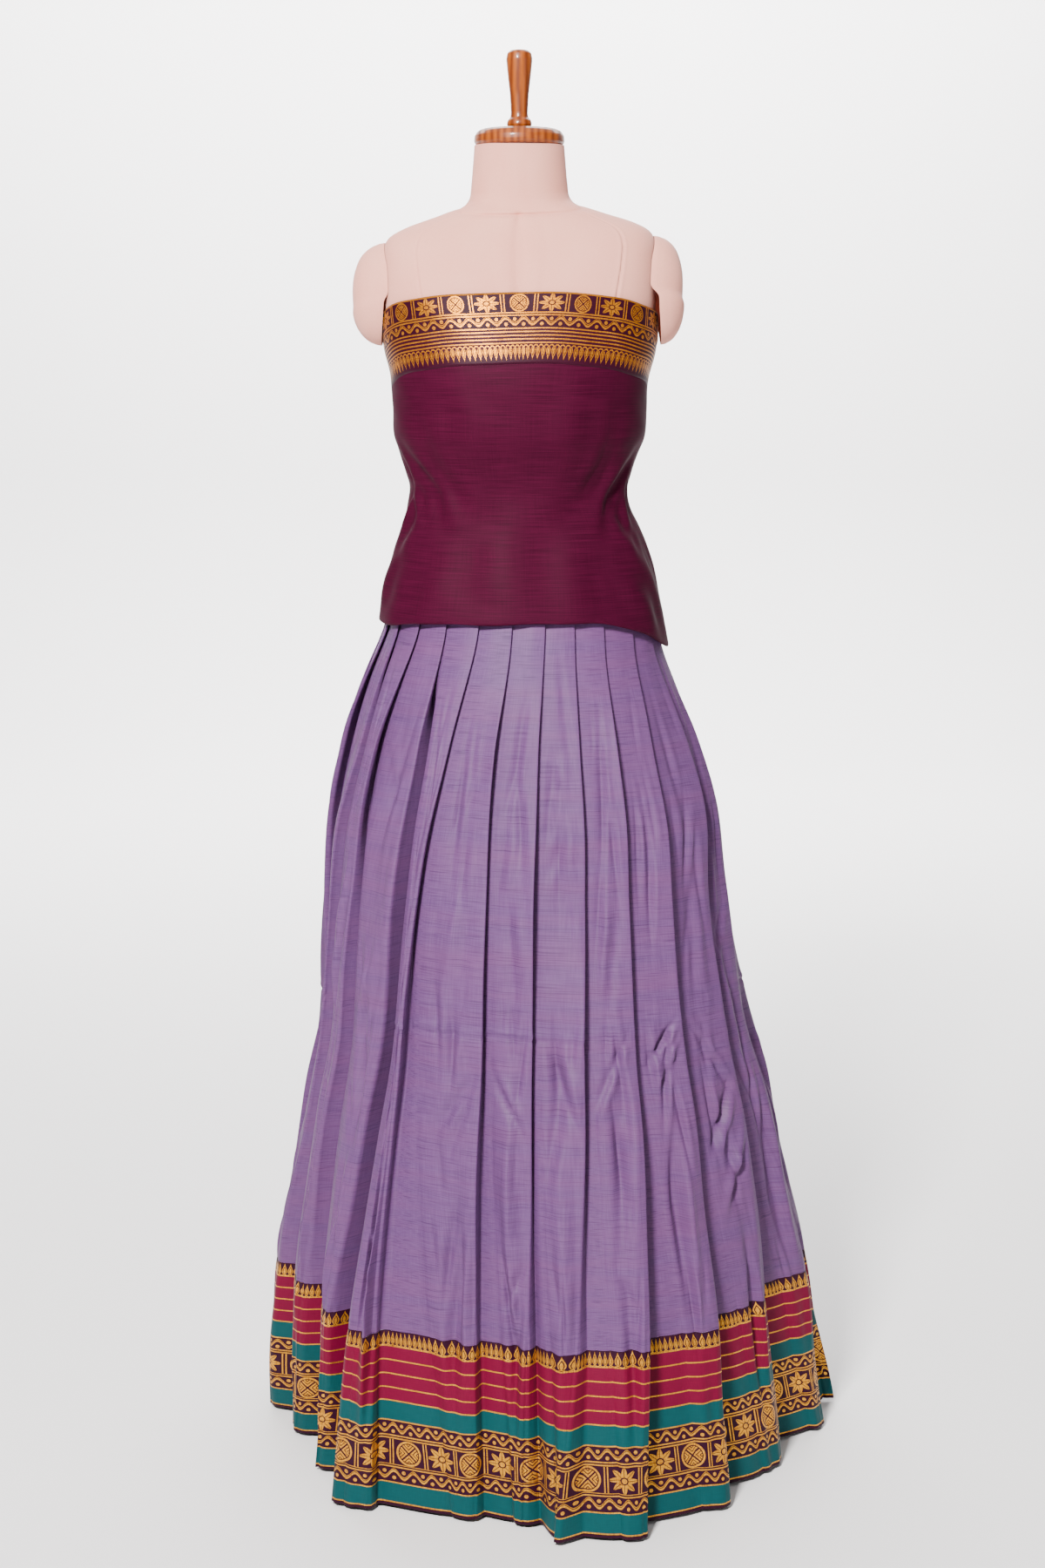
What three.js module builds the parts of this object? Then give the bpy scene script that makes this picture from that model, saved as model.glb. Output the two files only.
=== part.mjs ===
// Lehenga choli on a dress form, in millimetres, +Z up, front towards -Y.
// The origin is on the floor, on the axis of the stand's pole. Left and right are as seen from
// the front.
//
// The lehenga is a straight-cut length of silk cotton, knife-pleated into a waistband, with a
// woven border sewn to its lower edge. The choli length is wound once round the form as a
// strapless tube, with its free end under the arm on the right and its lower edge folded under.
import * as THREE from 'three';

// ---------------------------------------------------------------- driving sizes

const CLOTH = 1.2;              // thickness of every cloth wall
const SEAM = 0.3;               // space between pieces that are sewn or laid together

const PLEATS = 25;              // knife pleats all round the lehenga
const PLEAT_LAYER = 2.1;        // from layer to layer in a pressed pleat
const WAIST = 1085;             // lower edge of the waistband, where the pleats start
const BAND_TOP = 1124;          // upper edge of the waistband
const BAND_CLOTH = 2.4;         // the waistband is two layers and a stiffener
const BORDER_JOIN = 204.7;      // height of the seam between skirt cloth and woven border
const HEM = 5;                  // height of the skirt's hem over the floor

const CHOLI_BORDER = 79;        // height of the choli's woven border
const CHOLI_END = 90;           // direction of the wrap's free end, in degrees from the front
const FOLD_UNDER = 34;          // how far the choli's lower edge is folded up inside
const FOLD_SPACE = 2.4;         // inside space between the two layers of that fold

const FORM_BOTTOM = 850;        // flat underside of the dress form
const NECK_TOP = 1537;          // flat top of the form's neck
const POLE_RADIUS = 12.5;
const BASE_RADIUS = 165;
const BASE_HEIGHT = 9;

const degrees = THREE.MathUtils.degToRad;
const { lerp, clamp, smoothstep } = THREE.MathUtils;

// ---------------------------------------------------------------- outlines

// Half sizes of the dress form at each height, and how square its section is (2 is an ellipse).
const FORM_SECTIONS = [
  { z: 850, side: 146, front: 96, back: 106, square: 2.2 },
  { z: 862, side: 153, front: 101, back: 112, square: 2.2 },
  { z: 920, side: 157, front: 104, back: 117, square: 2.2 },
  { z: 970, side: 151, front: 105, back: 110, square: 2.1 },
  { z: 1010, side: 144.5, front: 105.5, back: 102, square: 2.1 },
  { z: 1045, side: 138, front: 104, back: 93.5, square: 2.1 },
  { z: 1085, side: 130.5, front: 98.5, back: 83.5, square: 2.1 },
  { z: 1125, side: 123.8, front: 99.8, back: 78.8, square: 2.2 },
  { z: 1147, side: 121, front: 100, back: 75, square: 2.2 },
  { z: 1170, side: 127, front: 107, back: 75, square: 2.2 },
  { z: 1208, side: 141.5, front: 119, back: 80, square: 2.2 },
  { z: 1240, side: 143.5, front: 122, back: 84, square: 2.2 },
  { z: 1275, side: 146, front: 120, back: 87, square: 2.3 },
  { z: 1308, side: 153, front: 113, back: 89, square: 2.4 },
  { z: 1340, side: 156.5, front: 105, back: 91, square: 2.6 },
  { z: 1372, side: 157.5, front: 97, back: 92, square: 2.8 },
  { z: 1402, side: 157.5, front: 86, back: 90, square: 2.9 },
  { z: 1426, side: 156, front: 75, back: 87, square: 2.8 },
  { z: 1439, side: 148, front: 67, back: 82, square: 2.6 },
  { z: 1449, side: 128, front: 61, back: 76, square: 2.4 },
  { z: 1457.5, side: 102, front: 56, back: 70, square: 2.3 },
  { z: 1465, side: 79, front: 52, back: 64, square: 2.2 },
  { z: 1471, side: 63, front: 49.5, back: 58.5, square: 2.1 },
  { z: 1479, side: 57.5, front: 48.5, back: 56, square: 2 },
  { z: 1492, side: 55.5, front: 48, back: 54.5, square: 2 },
  { z: 1525, side: 52.5, front: 47, back: 51.5, square: 2 },
  { z: 1537, side: 51.5, front: 46, back: 50.5, square: 2 },
];

// Outer half sizes of the wound choli length.
const CHOLI_SECTIONS = [
  { z: 955, left: 172, right: 178.5, front: 146, back: 131, square: 2.1 },
  { z: 985, left: 167.5, right: 173, front: 140.5, back: 127, square: 2.1 },
  { z: 1004, left: 164.5, right: 169.5, front: 136.5, back: 123, square: 2.1 },
  { z: 1024, left: 161, right: 166, front: 131.5, back: 119, square: 2.1 },
  { z: 1045, left: 157, right: 161.5, front: 126, back: 113, square: 2.1 },
  { z: 1065, left: 151, right: 156, front: 120, back: 106.5, square: 2.1 },
  { z: 1086, left: 144.5, right: 148.5, front: 114, back: 99.5, square: 2.2 },
  { z: 1106, left: 137.5, right: 139.5, front: 110, back: 92, square: 2.2 },
  { z: 1127, left: 131, right: 129.5, front: 108, back: 85, square: 2.2 },
  { z: 1147, left: 126.5, right: 126.5, front: 108.5, back: 80.5, square: 2.2 },
  { z: 1167, left: 131.5, right: 131.5, front: 112, back: 79.5, square: 2.2 },
  { z: 1188, left: 140, right: 139, front: 118, back: 81.5, square: 2.2 },
  { z: 1208, left: 146.5, right: 146.5, front: 123.5, back: 84.5, square: 2.2 },
  { z: 1240, left: 147.5, right: 148.5, front: 126, back: 88, square: 2.2 },
  { z: 1275, left: 150, right: 150.5, front: 124, back: 91, square: 2.3 },
  { z: 1308, left: 157, right: 159, front: 117, back: 93, square: 2.4 },
  { z: 1340, left: 160.5, right: 161, front: 109, back: 95, square: 2.6 },
  { z: 1372, left: 161.5, right: 161.5, front: 101, back: 96, square: 2.8 },
];

// Half sizes of the lehenga's outer folds, from the waistband to the hem.
const SKIRT_SECTIONS = [
  { z: 5, left: 311, right: 391, front: 363, back: 342, square: 2 },
  { z: 109, left: 306, right: 370, front: 343, back: 331, square: 2 },
  { z: 204, left: 299, right: 355, front: 323, back: 316, square: 2 },
  { z: 336, left: 276, right: 324, front: 290, back: 286, square: 2 },
  { z: 425, left: 259, right: 304, front: 267, back: 264, square: 2 },
  { z: 513, left: 241, right: 277, front: 245, back: 243, square: 2 },
  { z: 601, left: 235, right: 258, front: 224, back: 223, square: 2.05 },
  { z: 687, left: 231, right: 244, front: 204, back: 204, square: 2.1 },
  { z: 773, left: 225, right: 233, front: 184, back: 184, square: 2.1 },
  { z: 857, left: 206, right: 206, front: 164, back: 162, square: 2.1 },
  { z: 899, left: 194, right: 191, front: 154, back: 149, square: 2.1 },
  { z: 941, left: 179, right: 176, front: 144, back: 134, square: 2.1 },
  { z: 962, left: 170, right: 170, front: 139, back: 126, square: 2.1 },
  { z: 983, left: 161.5, right: 166, front: 134, back: 119.5, square: 2.1 },
  { z: 1000, left: 157, right: 162.5, front: 129.5, back: 115.5, square: 2.1 },
  { z: 1045, left: 149.5, right: 153.5, front: 118, back: 104.5, square: 2.1 },
  { z: 1085, left: 141, right: 144, front: 109.5, back: 94.5, square: 2.2 },
];

const OUTLINE_SIZES = ['left', 'right', 'front', 'back', 'square'];

// Returns a function that gives an outline's half sizes at any height.
function outlineOf(sections) {
  const heights = sections.map((row) => row.z);
  const sizes = sections.flatMap((row) => OUTLINE_SIZES.map((name) => row[name] ?? row.side));
  const curve = new THREE.CubicInterpolant(heights, sizes, OUTLINE_SIZES.length);
  return (z) => {
    const at = curve.evaluate(clamp(z, heights[0], heights[heights.length - 1]));
    return Object.fromEntries(OUTLINE_SIZES.map((name, column) => [name, at[column]]));
  };
}

// A point of an outline: direction in radians from the front (towards +X), moved in by inset.
function onOutline(sizes, direction, inset = 0) {
  const power = 2 / sizes.square;
  const across = Math.sin(direction);
  const ahead = Math.cos(direction);
  const halfWidth = (across > 0 ? sizes.right : sizes.left) - inset;
  const halfDepth = (ahead > 0 ? sizes.front : sizes.back) - inset;
  return new THREE.Vector2(
    Math.sign(across) * halfWidth * Math.abs(across) ** power,
    -Math.sign(ahead) * halfDepth * Math.abs(ahead) ** power,
  );
}

const formOutline = outlineOf(FORM_SECTIONS);
const choliOutline = outlineOf(CHOLI_SECTIONS);
const skirtOutline = outlineOf(SKIRT_SECTIONS);

// ---------------------------------------------------------------- meshes

const object = new THREE.Group();

function addPiece(name, geometry, material) {
  const mesh = new THREE.Mesh(geometry, material);
  mesh.name = name;
  object.add(mesh);
  return mesh;
}

function geometryOf(points, faces) {
  const geometry = new THREE.BufferGeometry();
  const coordinates = points.flatMap((point) => [point.x, point.y, point.z]);
  geometry.setAttribute('position', new THREE.Float32BufferAttribute(coordinates, 3));
  geometry.setIndex(faces.flat());
  geometry.computeVertexNormals();
  return geometry;
}

function quad(a, b, c, d) {
  return [[a, b, c], [a, c, d]];
}

// Tells whether the cloth runs back from one place to the next, as the hidden layer of a pleat.
function runsBack(from, to) {
  return from.outer.x * to.outer.y < from.outer.y * to.outer.x;
}

// A closed wall of cloth from its columns, in order to the right as seen from outside. Each
// column is a list of places going up the cloth, with the outer and inner point of each. A cell
// that runs back is divided along its other diagonal, so that the layers of a pleat stay apart.
function clothWall(columns, { ring = false } = {}) {
  const high = columns[0].length;
  const count = 2 * high;
  const points = columns.flatMap((column) => [
    ...column.map((place) => place.outer),
    ...column.map((place) => place.inner).reverse(),
  ]);
  const faces = [];
  const steps = ring ? columns.length : columns.length - 1;
  for (let step = 0; step < steps; step += 1) {
    const here = step * count;
    const next = ((step + 1) % columns.length) * count;
    const back = runsBack(columns[step][0], columns[(step + 1) % columns.length][0]);
    for (let i = 0; i < count; i += 1) {
      const j = (i + 1) % count;
      const inside = i >= high;
      const corners = [here + i, next + i, next + j, here + j];
      if (back !== inside) corners.push(corners.shift());
      faces.push(...quad(...corners));
    }
  }
  const end = steps * count;
  for (let i = 0; !ring && i < high - 1; i += 1) {
    const innerHere = count - 1 - i;
    faces.push(...quad(i, i + 1, innerHere - 1, innerHere));
    faces.push(...quad(end + i, end + innerHere, end + innerHere - 1, end + i + 1));
  }
  return geometryOf(points, faces);
}

// ---------------------------------------------------------------- lehenga: pleats

// Columns: directions of the fold's outer edge at hip, thigh and knee height, in degrees from
// the front; how deep its gap is at thigh and knee; and the hem's plan, in millimetres, where
// edge is the end of one panel, fold the inner crease and face the crest of the next panel.
const FRONT_FOLDS = [
  { hip: -77, thigh: -80, knee: -86, thighGap: 9, kneeGap: 20, edge: [-300, 72], fold: [-279, 54], face: [-311, 30] },
  { hip: -62, thigh: -63, knee: -72, thighGap: 34, kneeGap: 26, edge: [-303, -8], fold: [-266, -26], face: [-284, -58] },
  { hip: -46, thigh: -51, knee: -58, thighGap: 12, kneeGap: 30, edge: [-263, -84], fold: [-226, -92], face: [-240, -164] },
  { hip: -31, thigh: -32, knee: -39, thighGap: 30, kneeGap: 62, edge: [-232, -182], fold: [-206, -190], face: [-219, -273] },
  { hip: -16, thigh: -22, knee: -31, thighGap: 9, kneeGap: 15, edge: [-170, -277], fold: [-160, -272], face: [-94, -298] },
  { hip: -2.5, thigh: -6.5, knee: -9, thighGap: 9, kneeGap: 17, edge: [-48, -307], fold: [-39, -301], face: [-16, -312] },
  { hip: 9.6, thigh: 5.5, knee: 3.5, thighGap: 9, kneeGap: 17, edge: [8, -318], fold: [25, -321], face: [35, -349] },
  { hip: 21.7, thigh: 18.5, knee: 16.5, thighGap: 9, kneeGap: 17, edge: [49, -362], fold: [72, -352], face: [102, -358] },
  { hip: 35.3, thigh: 31.5, knee: 29.5, thighGap: 9, kneeGap: 18, edge: [144, -352], fold: [139, -318], face: [195, -296] },
  { hip: 52, thigh: 47, knee: 44, thighGap: 9, kneeGap: 18, edge: [238, -268], fold: [231, -228], face: [279, -206] },
  { hip: 67, thigh: 69, knee: 63, thighGap: 9, kneeGap: 20, edge: [308, -157], fold: [299, -110], face: [342, -86] },
  { hip: 82, thigh: 84, knee: 80, thighGap: 10, kneeGap: 20, edge: [376, -58], fold: [358, -18], face: [380, 6] },
];
const FIRST_FOLD_DIRECTION = FRONT_FOLDS[0].hip;
const LAST_FOLD_DIRECTION = FRONT_FOLDS[FRONT_FOLDS.length - 1].hip;
const BACK_FOLDS = PLEATS - FRONT_FOLDS.length;

// The back's folds continue round at an even pitch, with uneven depths like the front's.
const BACK_HEM = { first: 94, last: 244, depth: 34, unevenDepth: 9, lean: 1.2, unevenEdge: 6 };
const BACK_GAPS = { thigh: 9, knee: 19, unevenKnee: 5 };

// How far the inner crease of a pleat lies under its panel, at each height of the pleat.
const TUCKS = { waist: 19, hip: 26, thigh: 20, knee: 9 };
const LARGEST_TUCK = 0.78;       // as a share of the panel that hides it
const TIGHTEST_BEND = 95;        // radius of the outline where it turns fastest
const FOLD_HEIGHTS = { hem: HEM, knee: 620, thigh: 857, hip: 1000, waist: WAIST };
const POINTS_A_FOLD = 5;

// Folds with a gap deeper than this stand open; mouth is the gap's width on the outside.
const GAPING = { deeperThan: 25, mouth: { thigh: 7, knee: 12 }, crest: 2 };

// Places on an outline near one direction: along in millimetres round it, inset inwards.
function placesNear(level, direction) {
  const sizes = skirtOutline(FOLD_HEIGHTS[level]);
  const reach = 0.05;
  const chord = onOutline(sizes, direction - reach).distanceTo(onOutline(sizes, direction + reach));
  const turnPerMillimetre = (2 * reach) / chord;
  const place = (along, inset) => onOutline(sizes, direction + along * turnPerMillimetre, inset);
  return { place, turnPerMillimetre };
}

// Five plan points for one fold: both sides of its outer edge, both sides of its inner crease,
// and the place where the next panel shows. The crease of a pressed fold lies tucked under its
// panel, and the layers slope like shingles, clear of the panel, which is straighter than the
// outline by hollow. A fold with a deep gap stands open instead, and the next panel rolls out
// beside it.
function pressedFold(level, direction, previous, gap) {
  const { place, turnPerMillimetre } = placesNear(level, direction);
  const panel = (direction - previous) / turnPerMillimetre;
  const tuck = Math.min(TUCKS[level], panel * LARGEST_TUCK);
  const layer = Math.max(PLEAT_LAYER, gap * 0.3);
  const rise = Math.max(2 * layer, gap * 0.75);
  const hollow = (tuck * (panel - tuck)) / (2 * TIGHTEST_BEND);
  const crease = Math.max(gap - layer, layer + (rise * tuck) / panel + hollow);
  return [
    place(0, 0),
    place(0, layer),
    place(-tuck, crease),
    place(-tuck, crease + layer),
    place(1.5, rise),
  ];
}

function gapingFold(level, direction, gap) {
  const { place } = placesNear(level, direction);
  const mouth = GAPING.mouth[level];
  return [
    place(0, 0),
    place(-mouth * 0.07, gap * 0.25),
    place(mouth * 0.2, gap),
    place(mouth * 1.3, gap),
    place(mouth, GAPING.crest),
  ];
}

// The same five points of an opened fold, from its edge, crease and next crest.
function openFold(edge, fold, face) {
  const between = (from, to, share) => new THREE.Vector2().lerpVectors(from, to, share);
  return [edge, between(edge, fold, 0.4), fold, between(fold, face, 0.14), face];
}

function backFold(index) {
  const share = (index + 1) / (BACK_FOLDS + 1);
  const uneven = Math.sin(index * 2.3);
  const sweep = 360 + FIRST_FOLD_DIRECTION - LAST_FOLD_DIRECTION;
  const direction = LAST_FOLD_DIRECTION + share * sweep;
  const hemSizes = skirtOutline(HEM);
  const step = degrees(BACK_HEM.last - BACK_HEM.first) / (BACK_FOLDS - 1);
  const hemDirection = degrees(BACK_HEM.first) + index * step;
  const depth = BACK_HEM.depth + BACK_HEM.unevenDepth * uneven;
  const edge = onOutline(hemSizes, hemDirection, BACK_HEM.unevenEdge * (1 - uneven) * 0.5);
  const fold = onOutline(hemSizes, hemDirection - degrees(BACK_HEM.lean), depth);
  const face = onOutline(hemSizes, hemDirection + step * 0.5, depth * 0.22);
  return {
    hip: direction,
    thigh: direction,
    knee: lerp(direction, THREE.MathUtils.radToDeg(hemDirection), 0.5),
    thighGap: BACK_GAPS.thigh,
    kneeGap: BACK_GAPS.knee + BACK_GAPS.unevenKnee * uneven,
    edge: edge.toArray(),
    fold: fold.toArray(),
    face: face.toArray(),
  };
}

const folds = [...FRONT_FOLDS];
for (let index = 0; index < BACK_FOLDS; index += 1) {
  folds.push(backFold(index));
}

function foldAt(fold, before, level) {
  if (level === 'hem') {
    const plan = [fold.edge, fold.fold, fold.face].map(([x, y]) => new THREE.Vector2(x, y));
    return openFold(...plan);
  }
  const gaps = { waist: 0, hip: 0, thigh: fold.thighGap, knee: fold.kneeGap };
  const gap = gaps[level];
  const edgeOf = (of) => degrees(level === 'waist' ? of.hip : of[level]);
  const direction = edgeOf(fold);
  if (gap > GAPING.deeperThan) return gapingFold(level, direction, gap);
  const turn = 2 * Math.PI;
  const step = (((direction - edgeOf(before)) % turn) + turn) % turn;
  return pressedFold(level, direction, direction - step, gap);
}

// Every fold point as a share of the outline's half sizes, at each of the five heights.
const levels = Object.keys(FOLD_HEIGHTS);
const foldShares = levels.flatMap((level) => {
  const sizes = skirtOutline(FOLD_HEIGHTS[level]);
  const points = folds.flatMap((fold, i) => foldAt(fold, folds.at(i - 1), level));
  return points.flatMap((point) => [
    point.x / (point.x > 0 ? sizes.right : sizes.left),
    point.y / (point.y > 0 ? sizes.back : sizes.front),
  ]);
});
const shareCurve = new THREE.CubicInterpolant(
  levels.map((level) => FOLD_HEIGHTS[level]),
  foldShares,
  PLEATS * POINTS_A_FOLD * 2,
);

// The two widths of cloth meet inside a fold at each side, halfway along the hidden layer.
const RIGHT_SEAM_FOLD = 11;
const LEFT_SEAM_FOLD = 24;
const ROUND = PLEATS * POINTS_A_FOLD + 2;
const RIGHT_SEAM = RIGHT_SEAM_FOLD * POINTS_A_FOLD + 2;
const LEFT_SEAM = LEFT_SEAM_FOLD * POINTS_A_FOLD + 3;

// The plan of the pleated cloth at one height, once round, as a list of points.
function pleatPlan(z) {
  const sizes = skirtOutline(z);
  const shares = [...shareCurve.evaluate(z)];
  const plan = [];
  for (let i = 0; i < shares.length; i += 2) {
    const halfWidth = shares[i] > 0 ? sizes.right : sizes.left;
    const halfDepth = shares[i + 1] > 0 ? sizes.back : sizes.front;
    plan.push(new THREE.Vector2(shares[i] * halfWidth, shares[i + 1] * halfDepth));
  }
  for (const seam of [RIGHT_SEAM, LEFT_SEAM]) {
    plan.splice(seam, 0, plan[seam - 1].clone().lerp(plan[seam], 0.5));
  }
  return plan;
}

// The plan's outward direction at each point, longer at a bend so that the wall stays even.
function planNormals(plan) {
  return plan.map((point, i) => {
    const before = plan[(i + plan.length - 1) % plan.length];
    const after = plan[(i + 1) % plan.length];
    const normalIn = new THREE.Vector2(point.y - before.y, before.x - point.x).normalize();
    const normalOut = new THREE.Vector2(after.y - point.y, point.x - after.x).normalize();
    const middle = normalIn.clone().add(normalOut).normalize();
    return middle.divideScalar(clamp(middle.dot(normalOut), 0.72, 1));
  });
}

// One width of pleated cloth between two heights, from one seam to the other.
function pleatedCloth(heights, first, last) {
  const count = last - first + 1;
  const rows = heights.map((z) => {
    const plan = pleatPlan(z);
    const normals = planNormals(plan);
    const row = [];
    for (let i = 0; i < count; i += 1) {
      const at = (first + i) % ROUND;
      const point = plan[at].clone();
      const neighbour = i === 0 ? plan[(at + 1) % ROUND] : plan[(at + ROUND - 1) % ROUND];
      if (i === 0 || i === count - 1) {
        const along = neighbour.clone().sub(point).normalize();
        point.addScaledVector(along, SEAM / 2);
      }
      const outer = point.clone().addScaledVector(normals[at], CLOTH / 2);
      const inner = point.clone().addScaledVector(normals[at], -CLOTH / 2);
      row.push({ outer: new THREE.Vector3(outer.x, outer.y, z), inner: new THREE.Vector3(inner.x, inner.y, z) });
    }
    return row;
  });
  const columns = [];
  for (let i = 0; i < count; i += 1) {
    columns.push(rows.map((row) => row[i]));
  }
  return clothWall(columns);
}

const SKIRT_ROWS = [205, 290, 385, 490, 600, 690, 775, 857, 915, 960, 1000, 1040, WAIST];
const BORDER_ROWS = [HEM, 100, BORDER_JOIN];

const lavenderSilk = new THREE.MeshStandardMaterial({ color: 0x8e70a4, roughness: 0.55 });
const borderSilk = new THREE.MeshStandardMaterial({ color: 0xa3174f, roughness: 0.45 });
const wineSilk = new THREE.MeshStandardMaterial({ color: 0x6e2347, roughness: 0.45 });
const zari = new THREE.MeshStandardMaterial({ color: 0xb87a35, roughness: 0.4, metalness: 0.5 });
const formCloth = new THREE.MeshStandardMaterial({ color: 0xe3cfcb, roughness: 0.9 });
const varnishedWood = new THREE.MeshStandardMaterial({ color: 0xb8662e, roughness: 0.25 });
const standSteel = new THREE.MeshStandardMaterial({ color: 0x9a9c9e, roughness: 0.35, metalness: 1 });

addPiece('skirt_front', pleatedCloth(SKIRT_ROWS, LEFT_SEAM, RIGHT_SEAM + ROUND), lavenderSilk);
addPiece('skirt_back', pleatedCloth(SKIRT_ROWS, RIGHT_SEAM, LEFT_SEAM), lavenderSilk);
addPiece('hem_border_front', pleatedCloth(BORDER_ROWS, LEFT_SEAM, RIGHT_SEAM + ROUND), borderSilk);
addPiece('hem_border_back', pleatedCloth(BORDER_ROWS, RIGHT_SEAM, LEFT_SEAM), borderSilk);

// ---------------------------------------------------------------- lehenga: waistband

// A stiff band round the waist. The pleats hang from its lower edge.
function waistband() {
  const heights = [WAIST + SEAM, (WAIST + BAND_TOP) / 2, BAND_TOP];
  const columns = [];
  const steps = 40;
  const outerInset = 2.4;
  for (let step = 0; step < steps; step += 1) {
    const direction = degrees((360 * step) / steps);
    const wall = (z, inset) => {
      const { x, y } = onOutline(choliOutline(z), direction, CLOTH + inset);
      return new THREE.Vector3(x, y, z);
    };
    columns.push(heights.map((z) => ({ outer: wall(z, outerInset), inner: wall(z, outerInset + BAND_CLOTH) })));
  }
  return clothWall(columns, { ring: true });
}
addPiece('waistband', waistband(), lavenderSilk);

// ---------------------------------------------------------------- choli

// A hump of height 1 at its middle direction, in degrees, falling to 0 at reach to each side.
function hump(direction, middle, reach) {
  const away = Math.abs(((direction - middle + 540) % 360) - 180);
  return away < reach ? 0.5 + 0.5 * Math.cos((Math.PI * away) / reach) : 0;
}

const CHOLI_ROWS = [1036, 1072, 1108, 1147, 1178, 1208, 1240];
const CHOLI_TOP = { side: 1337, rise: 33, roundness: 0.8 };
const CHOLI_HEM = { height: 1000, cornerDrop: 39, cornerReach: 62, leftDrop: 9, leftReach: 80 };

function choliTop(direction) {
  const ahead = Math.max(0, Math.cos(degrees(direction)));
  return CHOLI_TOP.side + CHOLI_TOP.rise * ahead ** CHOLI_TOP.roundness;
}

function choliHem(direction) {
  const corner = CHOLI_HEM.cornerDrop * hump(direction, CHOLI_END, CHOLI_HEM.cornerReach);
  const left = CHOLI_HEM.leftDrop * hump(direction, -90, CHOLI_HEM.leftReach);
  return CHOLI_HEM.height - corner - left;
}

// Behind the free end, the cloth's other end stands off the form near its upper edge.
const FLARE = { height: 4, middle: 103, reach: 16, bottom: 1292, full: 1322 };
const UNDER_END = { inset: 0.6, reach: 24 };

function choliInset(direction, z) {
  const wrapped = direction > CHOLI_END ? hump(direction, CHOLI_END, UNDER_END.reach) : 0;
  const behind = direction > CHOLI_END ? hump(direction, FLARE.middle, FLARE.reach) : 0;
  const lift = FLARE.height * behind * smoothstep(z, FLARE.bottom, FLARE.full);
  return UNDER_END.inset * wrapped - lift;
}

function choliPoint(direction, z, depth) {
  const inset = choliInset(direction, z) + depth;
  const { x, y } = onOutline(choliOutline(z), degrees(direction), inset);
  return new THREE.Vector3(x, y, z);
}

// The section of the choli's cloth, from its turned-up edge inside, round the fold and up
// outside. Each place has two sides: how deep each lies behind the outline, and its height.
function choliSection(direction) {
  const top = choliTop(direction) - CHOLI_BORDER - SEAM;
  const hem = choliHem(direction);
  const innerFace = 2 * CLOTH + FOLD_SPACE;
  const middle = innerFace / 2;
  const bend = hem + middle + CLOTH;
  const places = [
    { outer: [innerFace, hem + FOLD_UNDER], inner: [innerFace - CLOTH, hem + FOLD_UNDER] },
    { outer: [innerFace, hem + middle], inner: [innerFace - CLOTH, bend] },
    { outer: [innerFace - CLOTH * 0.5, hem + CLOTH * 0.6], inner: [middle + FOLD_SPACE * 0.25, bend - CLOTH] },
    { outer: [middle, hem], inner: [middle, bend - CLOTH * 1.3] },
    { outer: [CLOTH * 0.5, hem + CLOTH * 0.6], inner: [middle - FOLD_SPACE * 0.25, bend - CLOTH] },
  ];
  for (const z of [hem + middle, ...CHOLI_ROWS, top]) {
    places.push({ outer: [0, z], inner: [CLOTH, Math.max(z, bend)] });
  }
  return places;
}

function borderSection(direction) {
  const top = choliTop(direction);
  const heights = [top - CHOLI_BORDER, top - CHOLI_BORDER / 2, top];
  return heights.map((z) => ({ outer: [0, z], inner: [CLOTH, z] }));
}

// One stretch of the wound length, from one direction to another.
function choliStretch(section, from, to, steps) {
  const columns = [];
  for (let step = 0; step <= steps; step += 1) {
    const direction = lerp(from, to, step / steps);
    const place = ([depth, z]) => choliPoint(direction, z, depth);
    columns.push(section(direction).map(({ outer, inner }) => ({ outer: place(outer), inner: place(inner) })));
  }
  return clothWall(columns);
}

const BACK_MIDDLE = 180;
const SEAM_DEGREES = 0.2;
addPiece('choli_front', choliStretch(choliSection, -BACK_MIDDLE, CHOLI_END, 33), wineSilk);
addPiece('choli_back', choliStretch(choliSection, CHOLI_END + SEAM_DEGREES, BACK_MIDDLE - SEAM_DEGREES, 14), wineSilk);
addPiece('choli_border_front', choliStretch(borderSection, -BACK_MIDDLE, CHOLI_END, 33), zari);
addPiece(
  'choli_border_back',
  choliStretch(borderSection, CHOLI_END + SEAM_DEGREES, BACK_MIDDLE - SEAM_DEGREES, 14),
  zari,
);

// ---------------------------------------------------------------- dress form

// The form leans a little, so its right shoulder is higher than its left.
const LEAN = { slope: 0.026, starts: 1290, full: 1380, ends: 1470, upright: 1535 };

function leaned(point) {
  const rising = smoothstep(point.z, LEAN.starts, LEAN.full);
  const falling = 1 - smoothstep(point.z, LEAN.ends, LEAN.upright);
  point.z += LEAN.slope * point.x * rising * falling;
  return point;
}

function formTorso() {
  const steps = 32;
  const points = [];
  const faces = [];
  for (const { z } of FORM_SECTIONS) {
    for (let step = 0; step < steps; step += 1) {
      const { x, y } = onOutline(formOutline(z), degrees((360 * step) / steps));
      points.push(leaned(new THREE.Vector3(x, y, z)));
    }
  }
  const rings = FORM_SECTIONS.length;
  for (let ring = 0; ring < rings - 1; ring += 1) {
    for (let i = 0; i < steps; i += 1) {
      const j = (i + 1) % steps;
      faces.push(...quad(ring * steps + i, ring * steps + j, (ring + 1) * steps + j, (ring + 1) * steps + i));
    }
  }
  const top = (rings - 1) * steps;
  for (let i = 1; i < steps - 1; i += 1) {
    faces.push([0, i + 1, i], [top, top + i, top + i + 1]);
  }
  return geometryOf(points, faces);
}
addPiece('form_torso', formTorso(), formCloth);

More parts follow.
